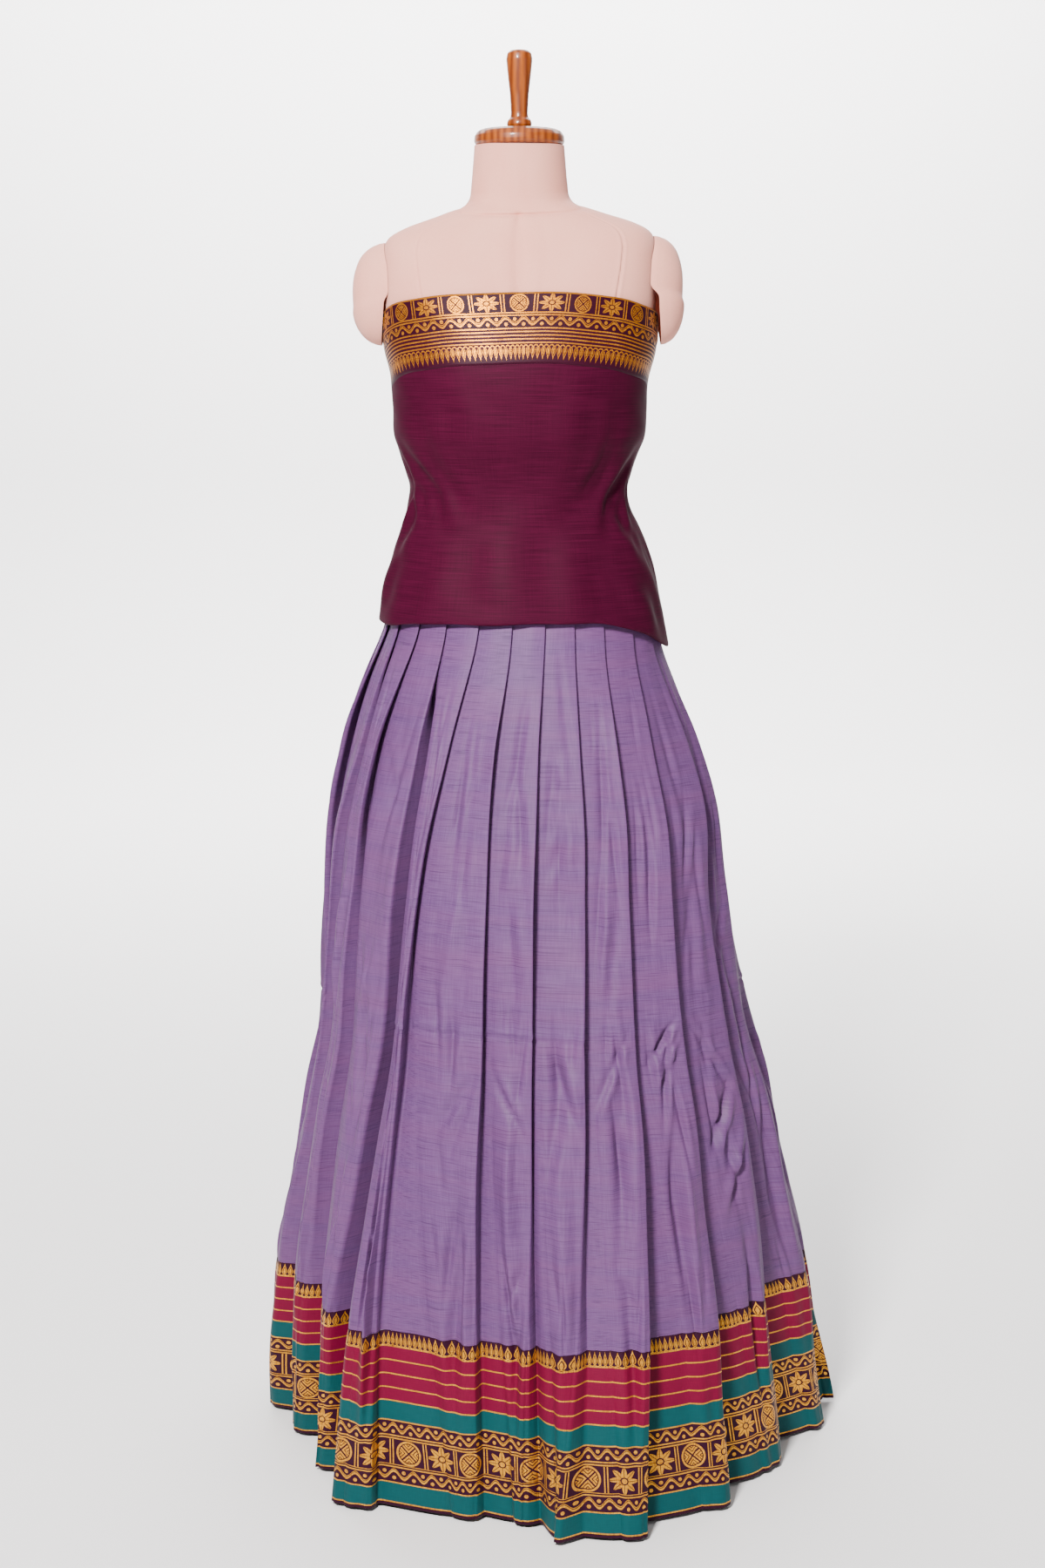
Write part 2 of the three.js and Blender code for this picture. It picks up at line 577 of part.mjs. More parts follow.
// A padded cap closes each armhole. Its inner face follows the form's side, and it lifts over
// the choli at its lower end, further on the right, where the wrap's inner end stands off.
const CAP = {
  middle: 1372, halfHeight: 60, halfDepth: 46, forward: -3, rim: 1.2,
  bulgeLeft: 34, bulgeRight: 30, overLeft: 5, overRight: 9.5, clear: 7, settled: 20,
};

function armCap(side) {
  const rings = 5;
  const steps = 24;
  const over = side > 0 ? CAP.overRight : CAP.overLeft;
  const bulge = side > 0 ? CAP.bulgeRight : CAP.bulgeLeft;
  const inner = [];
  const outer = [];
  for (let ring = 0; ring <= rings; ring += 1) {
    const reach = ring / rings;
    const count = ring === 0 ? 1 : steps;
    for (let step = 0; step < count; step += 1) {
      const turn = degrees((360 * step) / steps);
      const y = CAP.forward + CAP.halfDepth * reach * Math.cos(turn);
      const z = CAP.middle + CAP.halfHeight * reach * Math.sin(turn);
      const sizes = formOutline(z);
      const depth = y < 0 ? sizes.front : sizes.back;
      const across = (1 - Math.min(0.98, Math.abs(y) / depth) ** sizes.square) ** (1 / sizes.square);
      const ahead = Math.max(0, -y / depth);
      const choliEdge = CHOLI_TOP.side + CHOLI_TOP.rise * ahead ** CHOLI_TOP.roundness;
      const lift = over * (1 - smoothstep(z, choliEdge + CAP.clear, choliEdge + CAP.settled));
      const seat = sizes.right * across + SEAM + 0.5 + lift;
      const swell = CAP.rim + bulge * (1 - reach ** 2.4) ** 0.55;
      const level = (x) => leaned(new THREE.Vector3(side * x, y, z));
      inner.push(level(seat));
      outer.push(level(Math.max(seat + CAP.rim, lerp(sizes.right, seat, reach) + swell)));
    }
  }
  const points = [...inner, ...outer];
  const faces = [];
  const shift = inner.length;
  const at = (ring, step) => (ring === 0 ? 0 : 1 + (ring - 1) * steps + (step % steps));
  for (let ring = 0; ring < rings; ring += 1) {
    for (let i = 0; i < steps; i += 1) {
      const corners = [at(ring, i), at(ring + 1, i), at(ring + 1, i + 1), at(ring, i + 1)];
      const cells = ring === 0 ? [[corners[0], corners[1], corners[2]]] : quad(...corners);
      for (const [a, b, c] of cells) {
        faces.push([a + shift, b + shift, c + shift], [a, c, b]);
      }
    }
  }
  for (let i = 0; i < steps; i += 1) {
    const a = at(rings, i);
    const b = at(rings, i + 1);
    faces.push(...quad(a, b, b + shift, a + shift));
  }
  const facing = side > 0 ? faces : faces.map(([a, b, c]) => [a, c, b]);
  return geometryOf(points, facing);
}
addPiece('arm_cap_left', armCap(-1), formCloth);
addPiece('arm_cap_right', armCap(1), formCloth);

// ---------------------------------------------------------------- turned wood and stand

// A turned piece from its profile: radius and height, from the axis below to the axis above.
function turned(profile, steps) {
  const outline = profile.map(([radius, z]) => new THREE.Vector2(radius, z));
  return new THREE.LatheGeometry(outline, steps).rotateX(Math.PI / 2);
}

const CAP_RADIUS = 52;
const CAP_BOTTOM = NECK_TOP + SEAM;
const CAP_TOP = 1556;
const capProfile = [
  [0, CAP_BOTTOM], [CAP_RADIUS - 2.5, CAP_BOTTOM], [CAP_RADIUS, CAP_BOTTOM + 3.5],
  [CAP_RADIUS - 0.6, CAP_TOP - 8.5], [CAP_RADIUS - 4, CAP_TOP - 3.4], [CAP_RADIUS - 10, CAP_TOP - 0.8],
  [CAP_RADIUS - 17, CAP_TOP], [0, CAP_TOP],
];
addPiece('neck_cap', turned(capProfile, 40), varnishedWood);

const FINIAL_BOTTOM = CAP_TOP + SEAM;
const FINIAL_TOP = 1642.5;
const finialProfile = [
  [0, FINIAL_BOTTOM], [12, FINIAL_BOTTOM], [14.5, FINIAL_BOTTOM + 4], [13.4, FINIAL_BOTTOM + 9],
  [10.4, FINIAL_BOTTOM + 11.5], [9.6, FINIAL_BOTTOM + 17], [10.8, FINIAL_BOTTOM + 38],
  [13.6, FINIAL_BOTTOM + 62], [15, FINIAL_TOP - 10], [13.6, FINIAL_TOP - 3], [9.5, FINIAL_TOP],
  [0, FINIAL_TOP],
];
addPiece('finial', turned(finialProfile, 28), varnishedWood);

const poleProfile = [
  [0, BASE_HEIGHT + SEAM], [POLE_RADIUS, BASE_HEIGHT + SEAM], [POLE_RADIUS, FORM_BOTTOM - SEAM], [0, FORM_BOTTOM - SEAM],
];
addPiece('stand_pole', turned(poleProfile, 24), standSteel);

const baseProfile = [
  [0, 0], [BASE_RADIUS, 0], [BASE_RADIUS, BASE_HEIGHT - 2], [BASE_RADIUS - 2, BASE_HEIGHT], [0, BASE_HEIGHT],
];
addPiece('stand_base', turned(baseProfile, 48), standSteel);

export default object;
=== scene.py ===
import math

import bpy
import numpy as np
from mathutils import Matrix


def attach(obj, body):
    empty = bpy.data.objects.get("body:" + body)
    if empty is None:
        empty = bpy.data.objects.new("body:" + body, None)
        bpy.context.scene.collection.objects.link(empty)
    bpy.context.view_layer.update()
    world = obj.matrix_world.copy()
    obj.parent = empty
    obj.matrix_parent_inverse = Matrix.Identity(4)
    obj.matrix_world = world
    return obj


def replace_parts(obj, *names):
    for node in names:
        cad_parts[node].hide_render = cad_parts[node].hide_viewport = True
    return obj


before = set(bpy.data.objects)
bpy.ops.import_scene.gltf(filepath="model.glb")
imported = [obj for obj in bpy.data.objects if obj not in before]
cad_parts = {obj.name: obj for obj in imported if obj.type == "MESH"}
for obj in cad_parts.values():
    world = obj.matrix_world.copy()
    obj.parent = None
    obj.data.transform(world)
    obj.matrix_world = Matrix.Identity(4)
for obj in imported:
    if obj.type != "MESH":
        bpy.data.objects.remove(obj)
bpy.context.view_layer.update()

# ---------------------------------------------------------------- dress form: torso
# A limbless tailor's torso. Foam and wadding over a stiff core, under a cover of fine beige
# cotton that is cut in long panels, sewn together and pulled tight. The seams run down the
# middle of the front and back, down over the bust, and round the base of the neck.

MM = 0.001
SIZES = ("left", "right", "front", "back", "square")
FORM_SECTIONS = [
    # z, half width, front, back, how square
    (850, 146, 96, 106, 2.2), (862, 153, 101, 112, 2.2), (920, 157, 104, 117, 2.2),
    (970, 151, 105, 110, 2.1), (1010, 144.5, 105.5, 102, 2.1), (1045, 138, 104, 93.5, 2.1),
    (1085, 130.5, 98.5, 83.5, 2.1), (1125, 123.8, 99.8, 78.8, 2.2), (1147, 121, 100, 75, 2.2),
    (1170, 127, 107, 75, 2.2), (1208, 141.5, 119, 80, 2.2), (1240, 143.5, 122, 84, 2.2),
    (1275, 146, 120, 87, 2.3), (1308, 153, 113, 89, 2.4), (1340, 156.5, 105, 91, 2.6),
    (1372, 157.5, 97, 92, 2.8), (1402, 157.5, 86, 90, 2.9), (1426, 156, 75, 87, 2.8),
    (1439, 148, 67, 82, 2.6), (1449, 128, 61, 76, 2.4), (1457.5, 102, 56, 70, 2.3),
    (1465, 79, 52, 64, 2.2), (1471, 63, 49.5, 58.5, 2.1), (1479, 57.5, 48.5, 56, 2),
    (1492, 55.5, 48, 54.5, 2), (1525, 52.5, 47, 51.5, 2), (1537, 51.5, 46, 50.5, 2),
]


def smooth_curve(heights, values):
    """Returns a function of height that runs smoothly through a row of values at each height."""
    heights, values = np.array(heights, float), np.array(values, float)
    steps = np.diff(heights)
    slopes = np.diff(values, axis=0) / steps[:, None]
    tangents = np.vstack([slopes[:1], (slopes[:-1] + slopes[1:]) / 2, slopes[-1:]])

    def at(z):
        z = np.clip(np.atleast_1d(np.asarray(z, float)), heights[0], heights[-1])
        i = np.clip(np.searchsorted(heights, z, side="right") - 1, 0, len(steps) - 1)
        t = ((z - heights[i]) / steps[i])[..., None]
        step = steps[i][..., None]
        start = (1 + 2 * t) * (1 - t) ** 2 * values[i] + t * (1 - t) ** 2 * step * tangents[i]
        end = t * t * (3 - 2 * t) * values[i + 1] - t * t * (1 - t) * step * tangents[i + 1]
        return start + end

    return at


def outline_of(sections):
    """Half sizes at any height: left, right, front, back and how square."""
    heights = [row[0] for row in sections]
    sizes = [(row[1], *row[1:]) if len(row) == len(SIZES) else row[1:] for row in sections]
    return smooth_curve(heights, sizes)


def on_outline(sizes, direction, inset=0.0):
    """Points of an outline. The direction is in radians from the front towards +X."""
    left, right, front, back, square = np.moveaxis(np.asarray(sizes), -1, 0)
    across, ahead = np.sin(direction), np.cos(direction)
    half_width = np.where(across > 0, right, left) - inset
    half_depth = np.where(ahead > 0, front, back) - inset
    x = np.sign(across) * half_width * np.abs(across) ** (2 / square)
    y = -np.sign(ahead) * half_depth * np.abs(ahead) ** (2 / square)
    return np.stack([x, y], -1)


def along_outline(sizes, start, end, steps):
    """Directions in degrees, evenly spaced along an outline, and how far round each one lies,
    in millimetres from the middle of the front."""
    fine = np.radians(np.linspace(-180, 180, 2881))
    plan = on_outline(sizes, fine)
    run = np.concatenate([[0], np.cumsum(np.linalg.norm(np.diff(plan, axis=0), axis=1))])
    run -= np.interp(0, fine, run)
    distance = np.linspace(*np.interp(np.radians([start, end]), fine, run), steps)
    return np.degrees(np.interp(distance, run, fine)), distance


def smoothstep(value, low, high):
    share = np.clip((value - low) / (high - low), 0, 1)
    return share * share * (3 - 2 * share)


LEAN = {"slope": 0.026, "starts": 1290, "full": 1380, "ends": 1470, "upright": 1535}


def leaned(points):
    """The form leans a little, so that one shoulder is higher."""
    rising = smoothstep(points[..., 2], LEAN["starts"], LEAN["full"])
    falling = 1 - smoothstep(points[..., 2], LEAN["ends"], LEAN["upright"])
    points[..., 2] += LEAN["slope"] * points[..., 0] * rising * falling
    return points


def grid_piece(name, points, cloth, material, ring=False, wall=None):
    """A surface from rows of points going up, in millimetres, each row to the right as seen from
    outside. cloth gives each point's place on the flat cloth, in metres."""
    rows, columns = points.shape[:2]
    if ring:
        points = np.concatenate([points, points[:, :1]], axis=1)
    corner = np.arange(rows * columns).reshape(rows, columns)
    if ring:
        corner = np.concatenate([corner, corner[:, :1]], axis=1)
        points = points[:, :-1]
    faces = np.stack([corner[:-1, :-1], corner[:-1, 1:], corner[1:, 1:], corner[1:, :-1]], -1)
    place = np.arange(rows * cloth.shape[1]).reshape(rows, cloth.shape[1])
    places = np.stack([place[:-1, :-1], place[:-1, 1:], place[1:, 1:], place[1:, :-1]], -1)
    mesh = bpy.data.meshes.new(name)
    mesh.from_pydata((points.reshape(-1, 3) * MM).tolist(), [], faces.reshape(-1, 4).tolist())
    layer = mesh.uv_layers.new(name="cloth")
    layer.data.foreach_set("uv", cloth.reshape(-1, 2)[places.reshape(-1)].ravel())
    mesh.materials.append(material)
    mesh.shade_smooth()
    piece = bpy.data.objects.new(name, mesh)
    bpy.context.scene.collection.objects.link(piece)
    if wall:
        solid = piece.modifiers.new("cloth thickness", "SOLIDIFY")
        solid.thickness = wall * MM
        solid.offset = -1
    return piece


def linear(colour):
    """Linear colour from an sRGB hex value."""
    parts = [int(colour[i:i + 2], 16) / 255 for i in (1, 3, 5)]
    return [*(c / 12.92 if c <= 0.04045 else ((c + 0.055) / 1.055) ** 2.4 for c in parts), 1.0]


def add_node(tree, kind, *inputs, sockets=None, **settings):
    """Adds a node, where a kind in capitals is what a Math node does. Its inputs are values or
    sockets, in the node's order or by name."""
    if kind.isupper():
        kind, settings["operation"] = "ShaderNodeMath", kind
    node = tree.nodes.new(kind)
    for name, value in settings.items():
        setattr(node, name, value)
    for name, value in [*enumerate(inputs), *(sockets or {}).items()]:
        if isinstance(value, bpy.types.NodeSocket):
            tree.links.new(value, node.inputs[name])
        elif value is not None:
            node.inputs[name].default_value = value
    return node.outputs[0] if node.outputs else None


def new_material(name):
    material = bpy.data.materials.new(name)
    material.use_nodes = True
    material.node_tree.nodes.clear()
    return material, material.node_tree


def finish_material(tree, colour, height, height_mm, **surface):
    """Joins colour and relief to the surface shader, with constant values on its own sockets."""
    sockets = {name.replace("_", " "): value for name, value in surface.items()}
    sockets["Base Color"] = colour
    if height is not None:
        relief = {"Distance": height_mm * MM, "Height": height}
        sockets["Normal"] = add_node(tree, "ShaderNodeBump", sockets=relief)
    shader = add_node(tree, "ShaderNodeBsdfPrincipled", sockets=sockets)
    add_node(tree, "ShaderNodeOutputMaterial", shader)


# Plain-woven cotton, matt, with threads 0.35 mm apart, drawn 0.9 mm apart so that they show.
def form_cotton():
    material, tree = new_material("fine beige cotton")
    place = add_node(tree, "ShaderNodeUVMap", uv_map="cloth")
    fine = add_node(tree, "ShaderNodeMapping", place, sockets={"Scale": (1100, 1100, 1)})
    threads = add_node(tree, "ShaderNodeTexChecker", fine, (1, 1, 1, 1), (0.4, 0.4, 0.4, 1), 1.0)
    patch = add_node(tree, "ShaderNodeTexNoise", place, sockets={"Scale": 14.0, "Detail": 3.0})
    fluff = add_node(tree, "ShaderNodeTexNoise", place, sockets={"Scale": 420.0, "Detail": 2.0})
    tone = add_node(tree, "ShaderNodeMixRGB", patch, linear("#D38C7B"), linear("#DC9C8B"))
    soft = add_node(tree, "ShaderNodeMixRGB", 0.1, tone, threads, blend_type="MULTIPLY")
    colour = add_node(tree, "ShaderNodeMixRGB", 0.08, soft, fluff, blend_type="OVERLAY")
    finish_material(
        tree, colour, threads, 0.05, Roughness=0.88, Specular_IOR_Level=0.3, Sheen_Weight=0.1,
        Sheen_Roughness=0.5,
    )
    return material


BEIGE_COTTON = form_cotton()
form_outline = outline_of(FORM_SECTIONS)

# Seams: how far each lies from the middle, in degrees, at the waist, bust and shoulder.
PRINCESS_SEAM = smooth_curve([850, 1147, 1240, 1372, 1455], [[24], [25], [33], [38], [44]])
SEAM_DEPTH = 2.6
SEAM_WIDTH = 2.6
NECK_SEAM = {"front": 1457, "side": 1470, "back": 1476}
NECK_TOP = 1537
FULLEST = 1340          # height at which the columns of the cover are evenly spaced
COVER_COLUMNS = 480
COVER_GIRTH = 0.92      # metres of cloth round the form


def seam_groove(distance):
    """Depth of a seam at a distance from it: a sharp groove between two soft swells."""
    groove = np.exp(-(distance / (SEAM_WIDTH * 0.5)) ** 2)
    swell = 0.35 * np.exp(-((np.abs(distance) - SEAM_WIDTH * 1.7) / SEAM_WIDTH) ** 2)
    return SEAM_DEPTH * (groove - swell)


def form_cover():
    heights = np.concatenate([
        np.arange(850, 1300, 18), np.arange(1300, 1450, 3), np.arange(1450, 1484, 1),
        np.arange(1484, 1537, 4), [NECK_TOP],
    ])
    fullest = form_outline(FULLEST)[0]
    directions = np.radians(along_outline(fullest, -180, 180, COVER_COLUMNS + 1)[0][:-1])
    z = np.repeat(heights[:, None], len(directions), axis=1)
    turn = np.repeat(directions[None], len(heights), axis=0)
    sizes = form_outline(heights)[:, None]
    plan = on_outline(sizes, turn)
    reach = np.hypot(plan[..., 0], plan[..., 1])
    away = (turn + np.pi) % (2 * np.pi) - np.pi
    below_neck = smoothstep(-z, -1466, -1454)
    princess = np.radians(PRINCESS_SEAM(heights))
    depth = seam_groove(away * reach) * below_neck
    depth += seam_groove((np.pi - np.abs(away)) * reach)
    depth += seam_groove((np.abs(away) - princess) * reach) * below_neck * 0.6
    ahead = NECK_SEAM["front"] - NECK_SEAM["side"]
    behind = NECK_SEAM["side"] - NECK_SEAM["back"]
    neck = NECK_SEAM["side"] + np.where(np.cos(away) > 0, ahead, behind) * np.cos(away)
    depth += seam_groove(z - neck)
    plan = plan * (1 - depth / reach)[..., None]
    points = leaned(np.concatenate([plan, z[..., None]], -1))
    bottom, top = points[:1], points[-1:]
    narrowed, closed = np.array([0.6, 0.6, 1]), np.array([0.02, 0.02, 1])
    points = np.concatenate([
        bottom * closed, bottom * narrowed, points, top * narrowed, top * closed,
    ])
    around = np.linspace(0, COVER_GIRTH, len(directions) + 1)
    up = np.concatenate([[0.7, 0.78], heights * MM, [1.58, 1.62]])
    cloth = np.stack(np.meshgrid(around, up), -1)
    return grid_piece("form_cover", points, cloth, BEIGE_COTTON, ring=True)


form = form_cover()
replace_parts(form, "form_torso")
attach(form, "root")

# ---------------------------------------------------------------- dress form: arm caps
# Two padded ovals close the armholes. Each is a disc of the same cotton, sewn round its rim
# to the torso's cover over a thick pad, so it swells like a small cushion.

CAP = {
    "middle": 1372, "half_height": 60, "half_depth": 46, "forward": -3, "rim": 1.2,
    "bulge": {-1: 34, 1: 30}, "over": {-1: 5, 1: 9.5}, "clear": 7, "settled": 20,
    "off_the_cover": 0.8, "stitch_depth": 0.8, "stitch_at": 0.965, "stitch_width": 0.014,
}
CAP_CLOTH = (0.33, 0.08)     # metres of cloth round a cap, and from its middle to its rim
CHOLI_TOP = {"side": 1337, "rise": 33, "roundness": 0.8}


def arm_cap(name, side):
    reach = np.concatenate([np.linspace(0.0, 0.86, 16), np.linspace(0.885, 1.0, 10)])[:, None]
    turn = np.radians(np.linspace(0, 360, 96, endpoint=False))[None]
    y = CAP["forward"] + CAP["half_depth"] * np.maximum(reach, 0.004) * np.cos(turn)
    z = CAP["middle"] + CAP["half_height"] * np.maximum(reach, 0.004) * np.sin(turn)
    sizes = form_outline(z.ravel()).reshape(*z.shape, len(SIZES))
    depth = np.where(y < 0, sizes[..., 2], sizes[..., 3])
    square = sizes[..., 4]
    across = (1 - np.minimum(0.98, np.abs(y) / depth) ** square) ** (1 / square)
    ahead = np.maximum(0, -y / depth) ** CHOLI_TOP["roundness"]
    choli_edge = CHOLI_TOP["side"] + CHOLI_TOP["rise"] * ahead
    settled = smoothstep(z - choli_edge, CAP["clear"], CAP["settled"])
    seat = sizes[..., 1] * across + CAP["off_the_cover"] + CAP["over"][side] * (1 - settled)
    swell = CAP["rim"] + CAP["bulge"][side] * (1 - reach ** 2.4) ** 0.55
    level = sizes[..., 1] + (seat - sizes[..., 1]) * reach
    outer = np.maximum(seat + CAP["rim"], level + swell)
    from_stitch = (reach - CAP["stitch_at"]) / CAP["stitch_width"]
    outer -= CAP["stitch_depth"] * np.exp(-from_stitch ** 2)
    rows = [np.stack([side * outer, y, z], -1), np.stack([side * seat, y, z], -1)[-1:]]
    points = leaned(np.concatenate(rows))
    if side > 0:
        points = points[:, ::-1]
    around = np.linspace(0, CAP_CLOTH[0], points.shape[1] + 1)
    up = np.linspace(0, CAP_CLOTH[1], len(points))
    cloth = np.stack(np.meshgrid(around, up), -1)
    piece = grid_piece(name, points[::-1], cloth, BEIGE_COTTON, ring=True)
    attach(piece, "root")
    return piece


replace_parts(arm_cap("arm_cap_cover_left", -1), "arm_cap_left")
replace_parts(arm_cap("arm_cap_cover_right", 1), "arm_cap_right")

# ---------------------------------------------------------------- turned wood
# The neck is closed by a turned disc and carries a turned finial, both in a reddish hardwood
# under several coats of clear gloss varnish. A screw through the disc holds the finial.

EDGE_ROUNDING = 1.6


def turned(name, profile, material, steps=96):
    """A turned piece from radius and height, in millimetres, with its edges slightly rounded."""
    profile = np.array(profile, float)
    rows = [profile[0]]
    for before, here, after in zip(profile[:-2], profile[1:-1], profile[2:]):
        back, on = before - here, after - here
        cut = min(EDGE_ROUNDING, 0.4 * np.hypot(*back), 0.4 * np.hypot(*on))
        start = here + back / np.hypot(*back) * cut
        end = here + on / np.hypot(*on) * cut
        for t in (0, 0.33, 0.67, 1):
            rows.append((1 - t) ** 2 * start + 2 * t * (1 - t) * here + t * t * end)
    rows.append(profile[-1])
    rows = np.array(rows)
    rows[[0, -1], 0] = 0.15
    turn = np.radians(np.linspace(0, 360, steps, endpoint=False))
    x = rows[:, :1] * np.sin(turn)
    y = -rows[:, :1] * np.cos(turn)
    points = np.stack([x, y, np.repeat(rows[:, 1:], steps, axis=1)], -1)
    along = np.concatenate([[0], np.cumsum(np.hypot(*np.diff(rows, axis=0).T))]) * MM
    around = np.linspace(0, 2 * np.pi * rows[:, 0].max() * MM, steps + 1)
    cloth = np.stack(np.meshgrid(around, along), -1)
    piece = grid_piece(name, points, cloth, material, ring=True)
    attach(piece, "root")
    return piece


def streaks(tree, place, scale, detail=2.0):
    """Uneven noise drawn out one way, as pores, scratches and threads are. scale is how often it
    changes in a metre, each way."""
    stretched = add_node(tree, "ShaderNodeMapping", place, sockets={"Scale": scale})
    return add_node(tree, "ShaderNodeTexNoise", stretched, sockets={"Scale": 1.0, "Detail": detail})


# Reddish hardwood: growth rings 3 mm apart, drawn 7 mm apart so that they show, with fine pores
# along the grain, under gloss varnish.
def hardwood():
    material, tree = new_material("varnished hardwood")
    place = add_node(tree, "ShaderNodeTexCoord").node.outputs["Object"]
    stretched = add_node(tree, "ShaderNodeMapping", place, sockets={"Scale": (60, 16, 14)})
    rings = add_node(
        tree, "ShaderNodeTexWave", stretched, wave_type="BANDS", bands_direction="X",
        sockets={"Scale": 0.7, "Distortion": 5.0, "Detail": 3.0},
    )
    pores = streaks(tree, place, (1500, 300, 120))
    wood = add_node(tree, "ShaderNodeMixRGB", rings, linear("#602704"), linear("#8A430C"))
    colour = add_node(tree, "ShaderNodeMixRGB", 0.2, wood, pores, blend_type="OVERLAY")
    finish_material(
        tree, colour, pores, 0.02, Roughness=0.45, Specular_IOR_Level=0.25, Coat_Weight=0.3,
        Coat_Roughness=0.1, IOR=1.5,
    )
    return material


HARDWOOD = hardwood()
CAP_BOTTOM, CAP_TOP, FINIAL_TOP = NECK_TOP + 0.3, 1556, 1642.5
neck_cap = turned("neck_cap_turned", [
    (0, CAP_BOTTOM), (49.5, CAP_BOTTOM), (52, CAP_BOTTOM + 3.5), (51.4, CAP_TOP - 8.5),
    (48, CAP_TOP - 3.4), (42, CAP_TOP - 0.8), (35, CAP_TOP), (0, CAP_TOP),
], HARDWOOD)
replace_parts(neck_cap, "neck_cap")
FINIAL_BOTTOM = 1556.3
finial = turned("finial_turned", [
    (0, FINIAL_BOTTOM), (12, FINIAL_BOTTOM), (14.5, FINIAL_BOTTOM + 4), (13.4, FINIAL_BOTTOM + 9),
    (10.4, FINIAL_BOTTOM + 11.5), (9.6, FINIAL_BOTTOM + 17), (10.8, FINIAL_BOTTOM + 38),
    (13.6, FINIAL_BOTTOM + 62), (15, FINIAL_TOP - 10), (13.6, FINIAL_TOP - 3), (9.5, FINIAL_TOP),
    (0, FINIAL_TOP),
], HARDWOOD)
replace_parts(finial, "finial")

# ---------------------------------------------------------------- stand
# A tube on a round plate carries the torso. Both are steel, brushed round the tube and
# across the plate. The tube is welded to a spigot in the plate's middle.


# Brushed steel: fine scratches, 0.3 mm apart and drawn 1 mm apart, with an uneven gloss.
def brushed_steel():
    material, tree = new_material("brushed steel")
    place = add_node(tree, "ShaderNodeUVMap", uv_map="cloth")
    scratches = streaks(tree, place, (20, 1000, 1), detail=4.0)
    colour = add_node(tree, "ShaderNodeMixRGB", scratches, linear("#8C8E91"), linear("#B4B6B8"))
    gloss = {"To Min": 0.28, "To Max": 0.46}
    rough = add_node(tree, "ShaderNodeMapRange", scratches, sockets=gloss)
    finish_material(tree, colour, scratches, 0.02, Metallic=1.0, Roughness=rough)
    return material


STEEL = brushed_steel()
POLE_RADIUS, POLE_BOTTOM, POLE_TOP = 12.5, 9.3, 849.7
PLATE_RADIUS, PLATE_TOP, PLATE_BEVEL = 165, 9, 2
pole = turned("stand_pole_tube", [
    (0, POLE_BOTTOM), (POLE_RADIUS, POLE_BOTTOM), (POLE_RADIUS, POLE_TOP), (0, POLE_TOP),
], STEEL, steps=64)
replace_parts(pole, "stand_pole")
base = turned("stand_base_plate", [
    (0, 0), (PLATE_RADIUS, 0), (PLATE_RADIUS, PLATE_TOP - PLATE_BEVEL),
    (PLATE_RADIUS - PLATE_BEVEL, PLATE_TOP), (0, PLATE_TOP),
], STEEL, steps=128)
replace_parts(base, "stand_base")

# ---------------------------------------------------------------- lehenga: pleated skirt
# Two widths of lavender silk cotton, handwoven with thick and thin weft, so that fine slubs
# run across it. They are laid in 25 knife pleats that all face one way, pressed at the waist
# and left to open towards the hem. The widths are joined inside a pleat at each side.

WAIST, HEM, BORDER_JOIN = 1085, 5, 204.7
CLOTH_GAP = 0.15
SKIRT_SECTIONS = [
    # z, left, right, front, back, how square
    (5, 311, 391, 363, 342, 2), (109, 306, 370, 343, 331, 2), (204, 299, 355, 323, 316, 2),
    (336, 276, 324, 290, 286, 2), (425, 259, 304, 267, 264, 2), (513, 241, 277, 245, 243, 2),
    (601, 235, 258, 224, 223, 2.05), (687, 231, 244, 204, 204, 2.1), (773, 225, 233, 184, 184, 2.1),
    (857, 206, 206, 164, 162, 2.1), (899, 194, 191, 154, 149, 2.1), (941, 179, 176, 144, 134, 2.1),
    (962, 170, 170, 139, 126, 2.1), (983, 161.5, 166, 134, 119.5, 2.1),
    (1000, 157, 162.5, 129.5, 115.5, 2.1), (1045, 149.5, 153.5, 118, 104.5, 2.1),
    (1085, 141, 144, 109.5, 94.5, 2.2),
]
skirt_outline = outline_of(SKIRT_SECTIONS)

FRONT_FOLDS = [
    # degrees from the front at hip, thigh and knee, gap in mm at thigh and knee, and the hem's
    # plan: the end of one panel, the inner crease and the crest of the next panel
    (-77, -80, -86, 9, 20, (-300, 72), (-279, 54), (-311, 30)),
    (-62, -63, -72, 34, 26, (-303, -8), (-266, -26), (-284, -58)),
    (-46, -51, -58, 12, 30, (-263, -84), (-226, -92), (-240, -164)),
    (-31, -32, -39, 30, 62, (-232, -182), (-206, -190), (-219, -273)),
    (-16, -22, -31, 9, 15, (-170, -277), (-160, -272), (-94, -298)),
    (-2.5, -6.5, -9, 9, 17, (-48, -307), (-39, -301), (-16, -312)),
    (9.6, 5.5, 3.5, 9, 17, (8, -318), (25, -321), (35, -349)),
    (21.7, 18.5, 16.5, 9, 17, (49, -362), (72, -352), (102, -358)),
    (35.3, 31.5, 29.5, 9, 18, (144, -352), (139, -318), (195, -296)),
    (52, 47, 44, 9, 18, (238, -268), (231, -228), (279, -206)),
    (67, 69, 63, 9, 20, (308, -157), (299, -110), (342, -86)),
    (82, 84, 80, 10, 20, (376, -58), (358, -18), (380, 6)),
]
PLEATS = 25
POINTS_A_FOLD = 5
FOLD_HEIGHTS = {"hem": 5, "knee": 620, "thigh": 857, "hip": 1000, "waist": 1085}
TUCKS = {"waist": 19, "hip": 26, "thigh": 20, "knee": 9}
LAYER, LARGEST_TUCK, TIGHTEST_BEND = 2.1, 0.78, 95
GAPING = {"deeper_than": 25, "thigh": 7, "knee": 12, "crest": 2}


